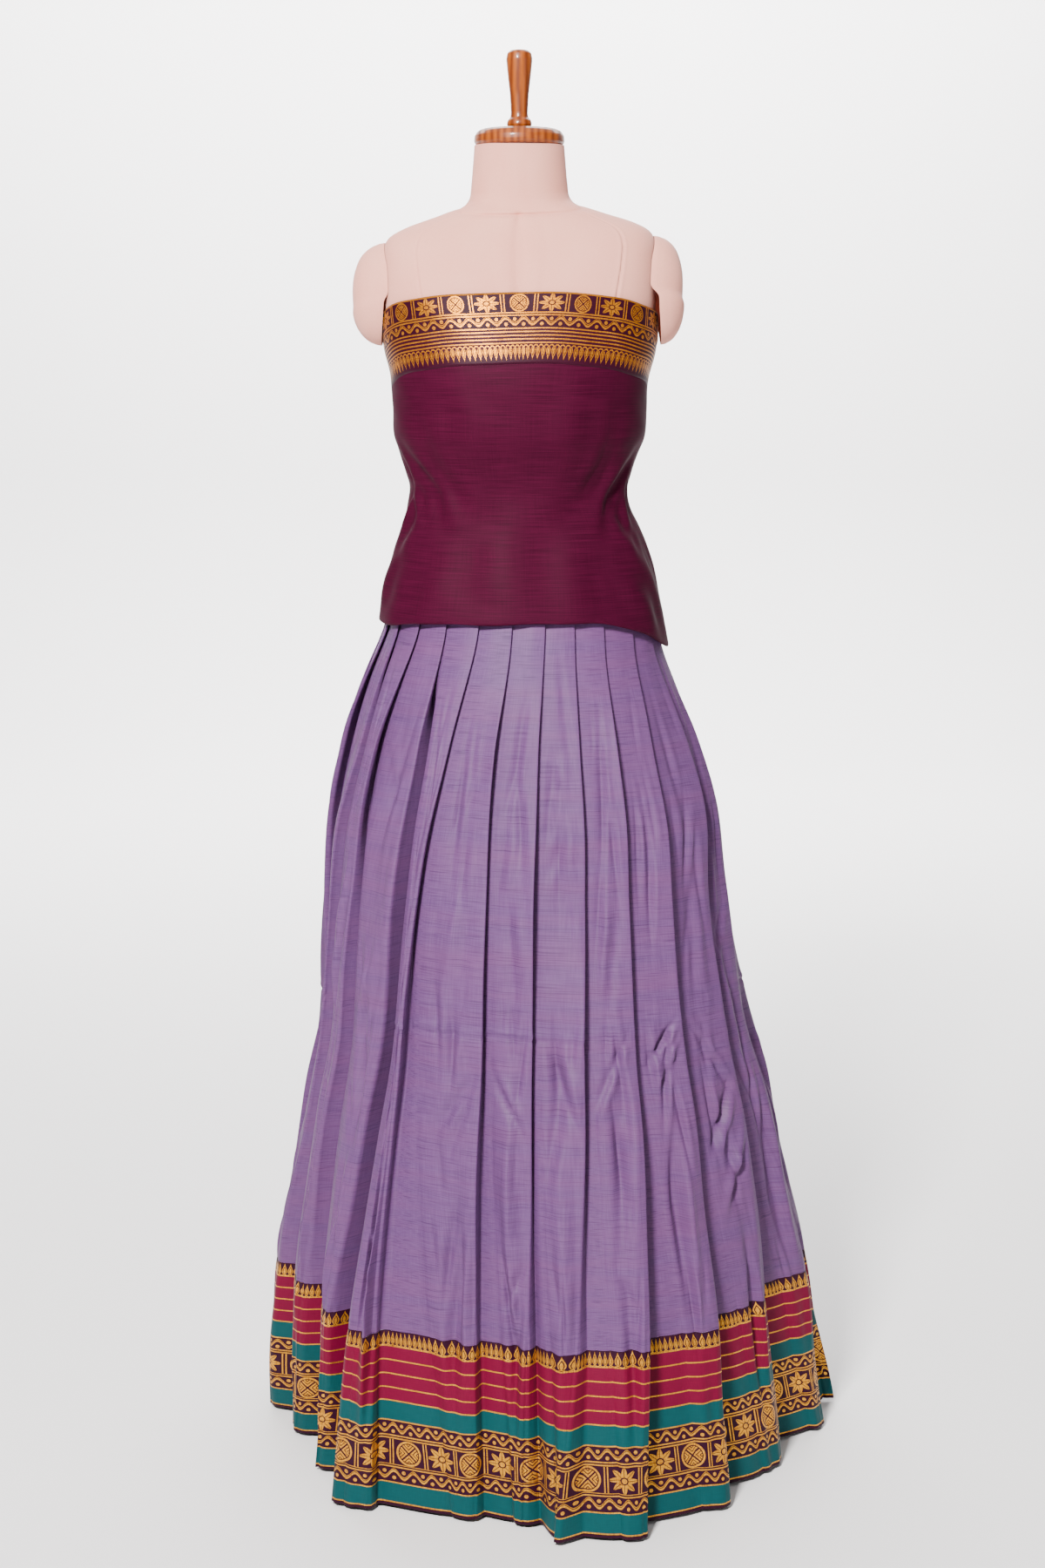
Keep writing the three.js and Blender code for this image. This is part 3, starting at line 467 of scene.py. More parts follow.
def place_near(level, direction):
    """A function of millimetres along the outline near one direction, and inwards from it."""
    sizes = skirt_outline(FOLD_HEIGHTS[level])[0]
    reach = 0.05
    chord = math.dist(on_outline(sizes, direction - reach), on_outline(sizes, direction + reach))
    turn = 2 * reach / chord
    return (lambda along, inset: on_outline(sizes, direction + along * turn, inset)), turn


def pressed_fold(level, direction, previous, gap):
    """A pleat whose inner crease lies tucked under its panel, its layers like shingles."""
    place, turn = place_near(level, direction)
    panel = (direction - previous) / turn
    tuck = min(TUCKS[level], panel * LARGEST_TUCK)
    layer = max(LAYER, gap * 0.3)
    rise = max(2 * layer, gap * 0.75)
    hollow = tuck * (panel - tuck) / (2 * TIGHTEST_BEND)
    crease = max(gap - layer, layer + rise * tuck / panel + hollow)
    return [
        place(0, 0), place(0, layer), place(-tuck, crease), place(-tuck, crease + layer),
        place(1.5, rise),
    ]


def gaping_fold(level, direction, gap):
    """A pleat that stands open: the next panel rolls out beside its edge."""
    place, _ = place_near(level, direction)
    mouth = GAPING[level]
    return [
        place(0, 0), place(-mouth * 0.07, gap * 0.25), place(mouth * 0.2, gap),
        place(mouth * 1.3, gap), place(mouth, GAPING["crest"]),
    ]


def back_fold(index):
    """The folds go on round the back at an even pitch, with uneven depths."""
    count = PLEATS - len(FRONT_FOLDS)
    first, last = FRONT_FOLDS[0][0], FRONT_FOLDS[-1][0]
    uneven = math.sin(index * 2.3)
    direction = last + (index + 1) / (count + 1) * (360 + first - last)
    sizes = skirt_outline(HEM)[0]
    step = math.radians(150) / (count - 1)
    hem = math.radians(94) + index * step
    depth = 34 + 9 * uneven
    return (
        direction, direction, (direction + math.degrees(hem)) / 2, 9, 19 + 5 * uneven,
        on_outline(sizes, hem, 3 * (1 - uneven)), on_outline(sizes, hem - math.radians(1.2), depth),
        on_outline(sizes, hem + step * 0.5, depth * 0.22),
    )


FOLDS = FRONT_FOLDS + [back_fold(i) for i in range(PLEATS - len(FRONT_FOLDS))]


def fold_at(index, level):
    fold, before = FOLDS[index], FOLDS[index - 1]
    if level == "hem":
        edge, crease, face = (np.array(place, float) for place in fold[5:])
        return [edge, edge + 0.4 * (crease - edge), crease, crease + 0.14 * (face - crease), face]
    column = {"waist": 0, "hip": 0, "thigh": 1, "knee": 2}[level]
    gap = {"waist": 0, "hip": 0, "thigh": fold[3], "knee": fold[4]}[level]
    direction = math.radians(fold[column])
    if gap > GAPING["deeper_than"]:
        return gaping_fold(level, direction, gap)
    step = (direction - math.radians(before[column])) % (2 * math.pi)
    return pressed_fold(level, direction, direction - step, gap)


def fold_shares():
    """Every fold point as a share of the outline's half sizes, at each of the five heights."""
    rows = []
    for level, height in FOLD_HEIGHTS.items():
        left, right, front, back, _ = skirt_outline(height)[0]
        points = np.array([point for i in range(PLEATS) for point in fold_at(i, level)])
        width = np.where(points[:, 0] > 0, right, left)
        depth = np.where(points[:, 1] > 0, back, front)
        rows.append((points / np.stack([width, depth], -1)).ravel())
    return smooth_curve(list(FOLD_HEIGHTS.values()), rows)


shares_at = fold_shares()

# How far a fold's edge is rounded at each height: sharp where it is pressed, then softer.
ROUNDING = smooth_curve(
    [5, 205, 480, 700, 857, 1000, 1085], [[17], [14], [9], [5], [3], [1.4], [1.1]],
)
BEND = (0, 1 / 3, 2 / 3, 1)
BETWEEN = (0, 3, 0, 3, 34)       # extra points after each of a fold's five points


def pleat_plan(heights):
    """The cloth's plan at each height, and how far across its panel each point lies, from 0 to 1,
    or -1 where it lies inside a fold."""
    shares = shares_at(heights).reshape(len(heights), -1, 2)
    sizes = skirt_outline(heights)
    width = np.where(shares[..., 0] > 0, sizes[:, 1:2], sizes[:, 0:1])
    depth = np.where(shares[..., 1] > 0, sizes[:, 3:4], sizes[:, 2:3])
    corners = shares * np.stack([width, depth], -1)
    before, after = np.roll(corners, 1, axis=1), np.roll(corners, -1, axis=1)
    back, on = before - corners, after - corners
    back_length = np.linalg.norm(back, axis=-1, keepdims=True)
    on_length = np.linalg.norm(on, axis=-1, keepdims=True)
    cut = np.minimum(ROUNDING(heights)[:, None], 0.45 * np.minimum(back_length, on_length))
    start = corners + back / back_length * cut
    end = corners + on / on_length * cut
    plan, across = [], []
    for i in range(corners.shape[1]):
        place = i % POINTS_A_FOLD
        for t in BEND:
            bend = (1 - t) ** 2 * start[:, i] + 2 * t * (1 - t) * corners[:, i]
            plan.append(bend + t * t * end[:, i])
            across.append({0: 1 - t * 0.001, 4: 0.001 * t}.get(place, -1.0))
        extra = BETWEEN[place]
        following = (i + 1) % corners.shape[1]
        for step in range(1, extra + 1):
            share = step / (extra + 1)
            plan.append(end[:, i] + share * (start[:, following] - end[:, i]))
            across.append(share if place == 4 else -1.0)
    return np.stack(plan, axis=1), np.array(across)


def outward(plan):
    """The cloth's outward direction in plan, all the way round."""
    along = np.roll(plan, -1, axis=1) - np.roll(plan, 1, axis=1)
    along /= np.linalg.norm(along, axis=-1, keepdims=True)
    return np.stack([along[..., 1], -along[..., 0]], -1)


A_FOLD = len(BEND) * POINTS_A_FOLD + sum(BETWEEN)
EDGE_LIFT = {"from": 970, "full": 850, "height": 4.6, "at_hem": 2.2}
SEAM_COLUMN = 2 * len(BEND) + 1      # halfway along the hidden layer of a fold
RIGHT_SEAM = 11 * A_FOLD + SEAM_COLUMN
LEFT_SEAM = 24 * A_FOLD + SEAM_COLUMN
TRUE_WIDTH_AT = 105.0                # height where the cloth's width is measured
BAND_LINE = 546                      # height of the stitched tuck across the cloth

SOFT_CREASES = [
    # fold whose panel it is on, share across the panel, height, half length, depth, width, slant
    # (millimetres sideways for each millimetre up); a negative depth is a ridge
    (1, 0.55, 930, 34, 1.2, 7, 0.15), (1, 0.6, 700, 60, 2.2, 10, 0.1),
    (2, 0.5, 905, 40, 1.4, 6, -0.2), (2, 0.42, 640, 75, -2.4, 12, 0.12),
    (2, 0.55, 330, 90, 3.0, 14, 0.1), (3, 0.5, 800, 50, 1.6, 8, 0.2),
    (3, 0.4, 585, 40, -2.0, 10, 0.35), (3, 0.62, 470, 70, 2.6, 12, -0.15),
    (4, 0.45, 870, 45, 1.2, 7, 0.1), (4, 0.6, 690, 70, 1.8, 9, 0.12),
    (4, 0.3, 300, 110, 3.2, 15, 0.05), (4, 0.72, 180, 90, -2.6, 13, 0.05),
    (5, 0.35, 820, 40, 1.1, 7, -0.1), (5, 0.5, 655, 60, -1.4, 10, 0.1),
    (5, 0.4, 450, 52, 2.6, 9, 0.75), (5, 0.2, 430, 40, -2.0, 8, 0.7),
    (5, 0.6, 250, 110, 2.8, 14, 0.08), (6, 0.5, 880, 38, 1.0, 6, 0.1),
    (6, 0.55, 610, 55, 1.4, 9, -0.1), (6, 0.45, 380, 80, -2.2, 12, 0.05),
    (6, 0.6, 190, 70, 2.4, 12, 0.1), (7, 0.3, 737, 16, 1.9, 5, 0.5),
    (7, 0.6, 905, 42, 1.0, 6, -0.1), (7, 0.45, 480, 80, 1.8, 10, 0.06),
    (7, 0.5, 300, 100, -2.2, 12, -0.05), (8, 0.5, 850, 50, 1.1, 7, 0.1),
    (8, 0.4, 640, 50, -1.5, 9, 0.15), (8, 0.55, 410, 80, 2.2, 12, 0.08),
    (8, 0.6, 200, 80, 2.6, 14, -0.06), (9, 0.42, 522, 26, 2.4, 7, 1.1),
    (9, 0.58, 505, 22, -1.8, 7, 1.0), (9, 0.5, 760, 60, 1.3, 8, -0.1),
    (9, 0.35, 330, 90, 2.6, 13, 0.08), (10, 0.45, 425, 34, 2.8, 8, 0.8),
    (10, 0.62, 372, 40, -2.2, 9, 0.75), (10, 0.5, 640, 70, 1.6, 10, 0.1),
    (10, 0.4, 850, 50, 1.2, 7, -0.1), (10, 0.55, 190, 90, 2.8, 15, 0.06),
    (11, 0.5, 780, 60, 1.5, 9, 0.1), (11, 0.4, 560, 70, -2.0, 11, -0.1),
    (11, 0.6, 340, 90, 2.6, 14, 0.1), (0, 0.5, 760, 70, 1.6, 10, 0.1),
    (0, 0.45, 480, 80, -2.2, 12, 0.12), (0, 0.6, 250, 90, 2.6, 14, -0.06),
    (12, 0.5, 720, 70, 1.5, 9, 0.1), (12, 0.4, 420, 80, 2.4, 12, 0.1),
    (13, 0.55, 860, 50, 1.1, 7, -0.1), (13, 0.45, 590, 60, -1.8, 11, 0.2),
    (14, 0.5, 690, 55, 1.6, 9, 0.1), (14, 0.6, 330, 90, 2.6, 13, -0.08),
    (15, 0.4, 800, 60, 1.3, 8, 0.1), (15, 0.55, 500, 45, 2.0, 9, 0.6),
    (16, 0.5, 640, 70, -1.6, 11, 0.1), (16, 0.45, 280, 95, 2.6, 14, 0.06),
    (17, 0.6, 870, 45, 1.1, 7, 0.1), (17, 0.5, 450, 80, 2.2, 12, -0.1),
    (18, 0.4, 730, 60, 1.5, 9, 0.1), (18, 0.6, 380, 42, 2.2, 9, 0.7),
    (19, 0.5, 580, 70, -1.8, 11, 0.1), (19, 0.45, 220, 90, 2.6, 14, 0.08),
    (20, 0.55, 810, 55, 1.2, 8, -0.1), (20, 0.4, 470, 80, 2.2, 12, 0.1),
    (21, 0.5, 680, 65, 1.6, 9, 0.1), (21, 0.6, 310, 90, 2.6, 13, -0.06),
    (22, 0.45, 860, 50, 1.2, 7, 0.1), (22, 0.5, 540, 50, 2.0, 9, 0.5),
    (23, 0.6, 740, 60, 1.4, 9, -0.1), (23, 0.45, 360, 90, 2.4, 13, 0.1),
    (24, 0.5, 620, 70, -1.7, 11, 0.1), (24, 0.4, 240, 90, 2.6, 14, 0.06),
]


# All the creases are this much deeper than the table says: above the hip, and near the hem.
CREASE_DEPTH = {"hip": 1.5, "hem": 4.2}
CREASE_SHARPNESS = 0.85     # and this much narrower
WRINKLES = {"a_panel": 16, "lowest": 235, "apart": 44, "half_length": 34, "width": 5.5}
EVENLY_SPREAD = 0.618       # steps of this share of a panel never fall in line
RIPPLE = {"hip": 0.35, "hem": 1.45}
SWELLING = {"hip": 1.6, "low": 4.5}
STITCHED_TUCK = {"depth": 1.5, "width": 1.9, "pucker": 0.9, "pucker_reach": 12.0}
JOIN_GATHER = {"depth": 0.8, "pull": 1.0, "reach": 13.0}


def fine_wrinkles():
    """Shorter wrinkles between the main creases, closer together below the knee."""
    for panel in range(PLEATS):
        for step in range(WRINKLES["a_panel"]):
            uneven = math.sin(panel * 12.9 + step * 7.3)
            other = math.sin(panel * 4.7 + step * 15.1 + 2)
            place = 0.16 + 0.68 * ((EVENLY_SPREAD * step + 0.37 * panel) % 1)
            height = WRINKLES["lowest"] + WRINKLES["apart"] * step + 26 * uneven
            half = WRINKLES["half_length"] + 16 * uneven
            depth = 0.6 + 3.1 * (1.25 - 0.06 * step) * (1.2 + uneven)
            slant = 0.7 * other if step % 4 == 1 else 0.12 * other
            yield panel, place, height, half, depth, WRINKLES["width"], slant


def soft_relief(heights, across, cloth_at):
    """How far the cloth lies in or out of its fold's form, in millimetres, outwards."""
    z = heights[:, None]
    column = np.arange(len(across))
    past_fold = column % A_FOLD >= A_FOLD - BETWEEN[4] - len(BEND)
    panel_of = (column // A_FOLD + past_fold) % PLEATS
    on_panel = across >= 0
    share = np.where(on_panel, across, 0.5)[None]
    middle = np.where(on_panel, np.sin(np.pi * across.clip(0, 1)) ** 0.7, 0.0)[None]
    low = smoothstep(-z, -980, -300)
    relief = np.zeros((len(heights), len(across)))
    deeper = CREASE_DEPTH["hip"] + (CREASE_DEPTH["hem"] - CREASE_DEPTH["hip"]) * low
    for panel, at, height, half, depth, width, slant in SOFT_CREASES:
        columns = np.flatnonzero((panel_of == panel) & on_panel)
        span = cloth_at[columns].max() - cloth_at[columns].min()
        side = (share[:, columns] - at) * span - slant * (z - height)
        along = np.exp(-((z - height) / half) ** 2)
        width *= CREASE_SHARPNESS
        beside = 0.5 * np.exp(-((side - 2 * width) / width) ** 2)
        relief[:, columns] -= deeper * depth * along * (np.exp(-(side / width) ** 2) - beside)
    for panel, at, height, half, depth, width, slant in fine_wrinkles():
        columns = np.flatnonzero((panel_of == panel) & on_panel)
        span = cloth_at[columns].max() - cloth_at[columns].min()
        side = (share[:, columns] - at) * span - slant * (z - height)
        along = np.exp(-((z - height) / half) ** 2)
        sharp = np.exp(-1.2 * np.abs(side / width) ** 1.2)
        beside = 0.6 * np.exp(-((side - 1.9 * width) / width) ** 2)
        relief[:, columns] -= depth * along * (sharp - beside)
    phase = panel_of[None] * 1.7
    wave = np.sin(z / 61.0 + phase) + 0.6 * np.sin(z / 27.0 + 2.1 * phase)
    rippling = RIPPLE["hip"] + (RIPPLE["hem"] - RIPPLE["hip"]) * low
    relief += rippling * wave * np.sin(2 * np.pi * share + phase)
    relief += SWELLING["hip"] + SWELLING["low"] * smoothstep(-z, -850, -150)
    relief *= middle
    line = BAND_LINE + 5 * np.sin(cloth_at[None] / 160.0) + 2.5 * np.sin(cloth_at[None] / 47.0 + 1)
    above = 0.55 * np.exp(-((z - line - 5.5) / 3.2) ** 2)
    tuck = STITCHED_TUCK["depth"] * (np.exp(-((z - line) / STITCHED_TUCK["width"]) ** 2) - above)
    near = np.exp(-((z - line) / STITCHED_TUCK["pucker_reach"]) ** 2)
    pucker = STITCHED_TUCK["pucker"] * near
    pucker = pucker * np.sin(cloth_at[None] / 2.6 + 0.8 * np.sin(cloth_at[None] / 17.0))
    shows = 0.6 + 0.4 * np.sin(cloth_at[None] / 88.0 + 2 * np.sin(cloth_at[None] / 310.0))
    relief -= on_panel[None] * shows * (tuck + pucker)
    join = np.exp(-(np.abs(z - BORDER_JOIN) / JOIN_GATHER["reach"]))
    gather = np.sin(cloth_at[None] / 2.3 + np.sin(cloth_at[None] / 23.0) * 1.4)
    relief += on_panel[None] * join * (JOIN_GATHER["depth"] * gather - JOIN_GATHER["pull"])
    return relief


def edge_lift(heights, across, facing):
    """Each panel's free edge stands off the next panel, with the layer turned under it."""
    place = np.arange(len(across)) % A_FOLD
    weight = np.where(across >= 0, across.clip(0, 1) ** 2.6, 0.0)
    turned_under = np.arange(2 * len(BEND) + BETWEEN[1])
    weight[place < len(turned_under)] = np.tile(
        np.interp(turned_under, [len(BEND), len(turned_under)], [1, 0]), PLEATS,
    )
    source = np.arange(len(across))
    source = np.where(place < len(turned_under), source - place - 1, source)
    height = EDGE_LIFT["height"] * smoothstep(-heights, -EDGE_LIFT["from"], -EDGE_LIFT["full"])
    height += EDGE_LIFT["at_hem"] * smoothstep(-heights, -400, -60)
    fold = (source // A_FOLD)[None]
    uneven = 1 + 0.5 * np.sin(heights[:, None] / 83.0 + 2.4 * fold)
    uneven += 0.3 * np.sin(heights[:, None] / 37.0 + 4.1 * fold)
    return facing[:, source] * (height[:, None] * uneven * weight)[..., None]


def cloth_distance(plan_row):
    step = np.linalg.norm(np.diff(plan_row, axis=0, append=plan_row[:1]), axis=1)
    return np.concatenate([[0], np.cumsum(step)])


plan_true, ACROSS = pleat_plan(np.array([TRUE_WIDTH_AT]))
CLOTH_AT = cloth_distance(plan_true[0])


def pleated_width(name, heights, insets, first, last, material):
    """One width of pleated cloth, from one seam to the other."""
    plan, _ = pleat_plan(heights)
    facing = outward(plan)
    relief = soft_relief(heights, ACROSS, CLOTH_AT[:-1])
    plan = plan + facing * (relief - insets[:, None])[..., None]
    plan = plan + edge_lift(heights, ACROSS, facing)
    count = plan.shape[1]
    columns = np.arange(first, last + 1)
    points = plan[:, columns % count].copy()
    for end, neighbour in ((0, 1), (-1, -2)):
        along = points[:, neighbour] - points[:, end]
        along /= np.linalg.norm(along, axis=-1, keepdims=True)
        points[:, end] += along * CLOTH_GAP
    z = np.repeat(heights[:, None], len(columns), axis=1)
    points = np.concatenate([points, z[..., None]], -1)
    across = (CLOTH_AT[columns % count] + (columns // count) * CLOTH_AT[-1]) * MM
    up = (heights - HEM) * MM * np.where(np.diff(heights, prepend=heights[0] - 1) < 0, -1, 1)
    cloth = np.stack(np.meshgrid(across, up), -1)
    piece = grid_piece(name, points, cloth, material)
    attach(piece, "root")
    return piece


# Silk cotton with slub weft, soft sheen. Threads are 0.3 mm, drawn 0.8 mm thick; slubs are 1 mm
# thick and 20 to 60 mm long, a little darker, and scattered. Warp and weft differ a little.
def slub_silk():
    material, tree = new_material("lavender slub silk cotton")
    place = add_node(tree, "ShaderNodeUVMap", uv_map="cloth")
    slub = streaks(tree, place, (34, 900, 1))
    weft = streaks(tree, place, (55, 1250, 1))
    warp = streaks(tree, place, (1250, 40, 1), detail=1.0)
    bands = streaks(tree, place, (2.5, 45, 1))
    thread = add_node(tree, "ShaderNodeMixRGB", 0.35, weft, warp)
    thread_range = {"From Min": 0.3, "From Max": 0.7}
    spread = add_node(tree, "ShaderNodeMapRange", thread, sockets=thread_range)
    tone = add_node(tree, "ShaderNodeMixRGB", spread, linear("#4B2F57"), linear("#5F416A"))
    drift_range = {"From Min": 0.35, "From Max": 0.7, "To Max": 0.5}
    drift = add_node(tree, "ShaderNodeMapRange", bands, sockets=drift_range)
    tone = add_node(tree, "ShaderNodeMixRGB", drift, tone, linear("#613A61"))
    slub_range = {"From Min": 0.54, "From Max": 0.7, "To Max": 0.6}
    dark = add_node(tree, "ShaderNodeMapRange", slub, sockets=slub_range)
    colour = add_node(tree, "ShaderNodeMixRGB", dark, tone, linear("#35203F"))
    relief = add_node(tree, "ShaderNodeMixRGB", 0.5, thread, slub)
    rough = add_node(tree, "ShaderNodeMapRange", thread, sockets={"To Min": 0.46, "To Max": 0.6})
    finish_material(
        tree, colour, relief, 0.14, Roughness=rough, Specular_IOR_Level=0.14, Sheen_Weight=0.03,
        Sheen_Roughness=0.35, Sheen_Tint=linear("#D8B8E4"),
    )
    return material


SLUB_SILK = slub_silk()
SKIRT_HEIGHTS = np.concatenate([
    np.arange(205, 240, 4.0), np.arange(240, 522, 7.0), np.arange(522, 572, 2.5),
    np.arange(572, 860, 11.0), np.arange(860, 1080, 11.0), [1080, WAIST],
])
ALL_ROUND = PLEATS * A_FOLD
WIDTHS = {"front": (LEFT_SEAM - ALL_ROUND, RIGHT_SEAM), "back": (RIGHT_SEAM, LEFT_SEAM)}
for side, (first, last) in WIDTHS.items():
    skirt = pleated_width(
        f"lehenga_{side}", SKIRT_HEIGHTS, np.zeros(len(SKIRT_HEIGHTS)), first, last, SLUB_SILK,
    )
    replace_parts(skirt, f"skirt_{side}")

# ---------------------------------------------------------------- lehenga: waistband
# A straight strip of the skirt's cloth, folded in half over a stiff tape and sewn over the
# raw upper edges of the pleats. It sits on the form's waist, under the choli.

CHOLI_SECTIONS = [
    # z, left, right, front, back, how square
    (955, 172, 178.5, 146, 131, 2.1), (985, 167.5, 173, 140.5, 127, 2.1),
    (1004, 164.5, 169.5, 136.5, 123, 2.1), (1024, 161, 166, 131.5, 119, 2.1),
    (1045, 157, 161.5, 126, 113, 2.1), (1065, 151, 156, 120, 106.5, 2.1),
    (1086, 144.5, 148.5, 114, 99.5, 2.2), (1106, 137.5, 139.5, 110, 92, 2.2),
    (1127, 131, 129.5, 108, 85, 2.2), (1147, 126.5, 126.5, 108.5, 80.5, 2.2),
    (1167, 131.5, 131.5, 112, 79.5, 2.2), (1188, 140, 139, 118, 81.5, 2.2),
    (1208, 146.5, 146.5, 123.5, 84.5, 2.2), (1240, 147.5, 148.5, 126, 88, 2.2),
    (1275, 150, 150.5, 124, 91, 2.3), (1308, 157, 159, 117, 93, 2.4),
    (1340, 160.5, 161, 109, 95, 2.6), (1372, 161.5, 161.5, 101, 96, 2.8),
]
choli_outline = outline_of(CHOLI_SECTIONS)
BAND_TOP = 1124
BAND_INSET = {"outer": 3.7, "inner": 5.9}
BAND_FLAT = (0.82, 0.078)


def waistband():
    low, high = WAIST + 0.5, BAND_TOP - 0.3
    middle = (BAND_INSET["outer"] + BAND_INSET["inner"]) / 2
    section = [(low, BAND_INSET["inner"])]
    section += [(z, BAND_INSET["inner"]) for z in np.linspace(low + 6, high - 1.5, 6)]
    section += [(high, middle)]
    section += [(z, BAND_INSET["outer"]) for z in np.linspace(high - 1.5, low + 1, 8)]
    heights, insets = np.array(section).T
    turn = np.radians(np.linspace(0, 360, 180, endpoint=False))
    sizes = choli_outline(heights)[:, None]
    plan = on_outline(sizes, turn[None], insets[:, None])
    points = np.concatenate([plan, np.repeat(heights[:, None], len(turn), axis=1)[..., None]], -1)
    around = np.linspace(0, BAND_FLAT[0], len(turn) + 1)
    up = np.linspace(0, BAND_FLAT[1], len(heights))
    cloth = np.stack(np.meshgrid(around, up), -1)
    return grid_piece("waistband_folded", points, cloth, SLUB_SILK, ring=True)


band = waistband()
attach(band, "root")
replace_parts(band, "waistband")

# ---------------------------------------------------------------- lehenga: woven hem border
# A separate border, about 200 mm deep, woven in silk with gold-coloured yarn on a maroon
# ground: teal and crimson bands, rows of waves and dots, and a row of flowers and wheels.
# It is sewn to the skirt's lower edge, so the join puckers slightly, and its hem is turned up.

MAROON, TEAL, CRIMSON = "#26061A", "#053E41", "#5E0426"
HEM_BANDS = [
    # millimetres up from the hem where each ground colour starts
    (0, MAROON), (3.6, TEAL), (27, MAROON), (98.5, TEAL), (119.5, CRIMSON), (181.5, MAROON),
]
HEM_LINES = [4.4, 27.2, 44.8, 47.6, 77.6, 80.6, 97.8, 120.4, 135.4, 150.8, 166.2, 181.8]
BORDER_HEIGHT = 199.7


def place_on_cloth(tree):
    """The place on the flat cloth, then millimetres across it and up it."""
    place = add_node(tree, "ShaderNodeUVMap", uv_map="cloth")
    split = add_node(tree, "ShaderNodeSeparateXYZ", place)
    across, up = (add_node(tree, "MULTIPLY", side, 1 / MM) for side in split.node.outputs[:2])
    return place, across, up


def woven_bands(tree, up, height, first, steps):
    """The colour at each height on a border, which changes sharply at each step."""
    colours = add_node(tree, "ShaderNodeValToRGB", add_node(tree, "DIVIDE", up, height))
    ramp = colours.node.color_ramp
    ramp.interpolation = "CONSTANT"
    ramp.elements[0].position, ramp.elements[0].color = 0, first
    ramp.elements.remove(ramp.elements[1])
    for start, colour in steps:
        ramp.elements.new(start / height).color = colour
    return colours


def ground_bands(tree, up, bands, height):
    """The ground colours of a border, one above the other."""
    steps = [(start, linear(colour)) for start, colour in bands]
    return woven_bands(tree, up, height, steps[0][1], steps[1:])


def line_rows(tree, up, heights, width, height):
    """1 on straight woven lines at these heights, else 0."""
    steps = []
    for middle in heights:
        steps += [(middle - width / 2, (1, 1, 1, 1)), (middle + width / 2, (0, 0, 0, 1))]
    return woven_bands(tree, up, height, (0, 0, 0, 1), steps)


def within(tree, value, low, high):
    """1 between low and high, else 0."""
    middle, half = (low + high) / 2, (high - low) / 2
    return add_node(tree, "COMPARE", value, middle, half)


def either(tree, *shapes):
    """1 where any of the shapes is 1."""
    joined = shapes[0]
    for shape in shapes[1:]:
        joined = add_node(tree, "MAXIMUM", joined, shape)
    return joined


def both(tree, *shapes):
    """1 where all of the shapes are 1."""
    joined = shapes[0]
    for shape in shapes[1:]:
        joined = add_node(tree, "MULTIPLY", joined, shape)
    return joined


def round_dot(tree, x, y, radius):
    squares = add_node(tree, "MULTIPLY_ADD", x, x, add_node(tree, "MULTIPLY", y, y))
    return add_node(tree, "LESS_THAN", squares, radius * radius)


def wave_and_dots(tree, across, up, middle, period, swing):
    """A thick gold wave with a thin one beside it, and a dot in each of its hollows."""
    angle = add_node(tree, "MULTIPLY", across, 2 * math.pi / period)
    wave = add_node(tree, "MULTIPLY_ADD", add_node(tree, "SINE", angle), swing, middle)
    height = add_node(tree, "SUBTRACT", up, wave)
    thick = add_node(tree, "COMPARE", height, 0.0, 1.2)
    thin = add_node(tree, "COMPARE", height, 2.4, 0.4)
    half, dot, off = period / 2, period * 0.1, swing * 0.8
    cell = add_node(tree, "PINGPONG", add_node(tree, "SUBTRACT", across, half / 2), half)
    far_cell = add_node(tree, "SUBTRACT", cell, half)
    above = round_dot(tree, far_cell, add_node(tree, "SUBTRACT", up, middle + off), dot)
    below = round_dot(tree, cell, add_node(tree, "SUBTRACT", up, middle - off), dot)
    return either(tree, thick, thin, above, below)


BARS_AND_GAP = 3.4      # from the middle between two motifs to the tip of a petal


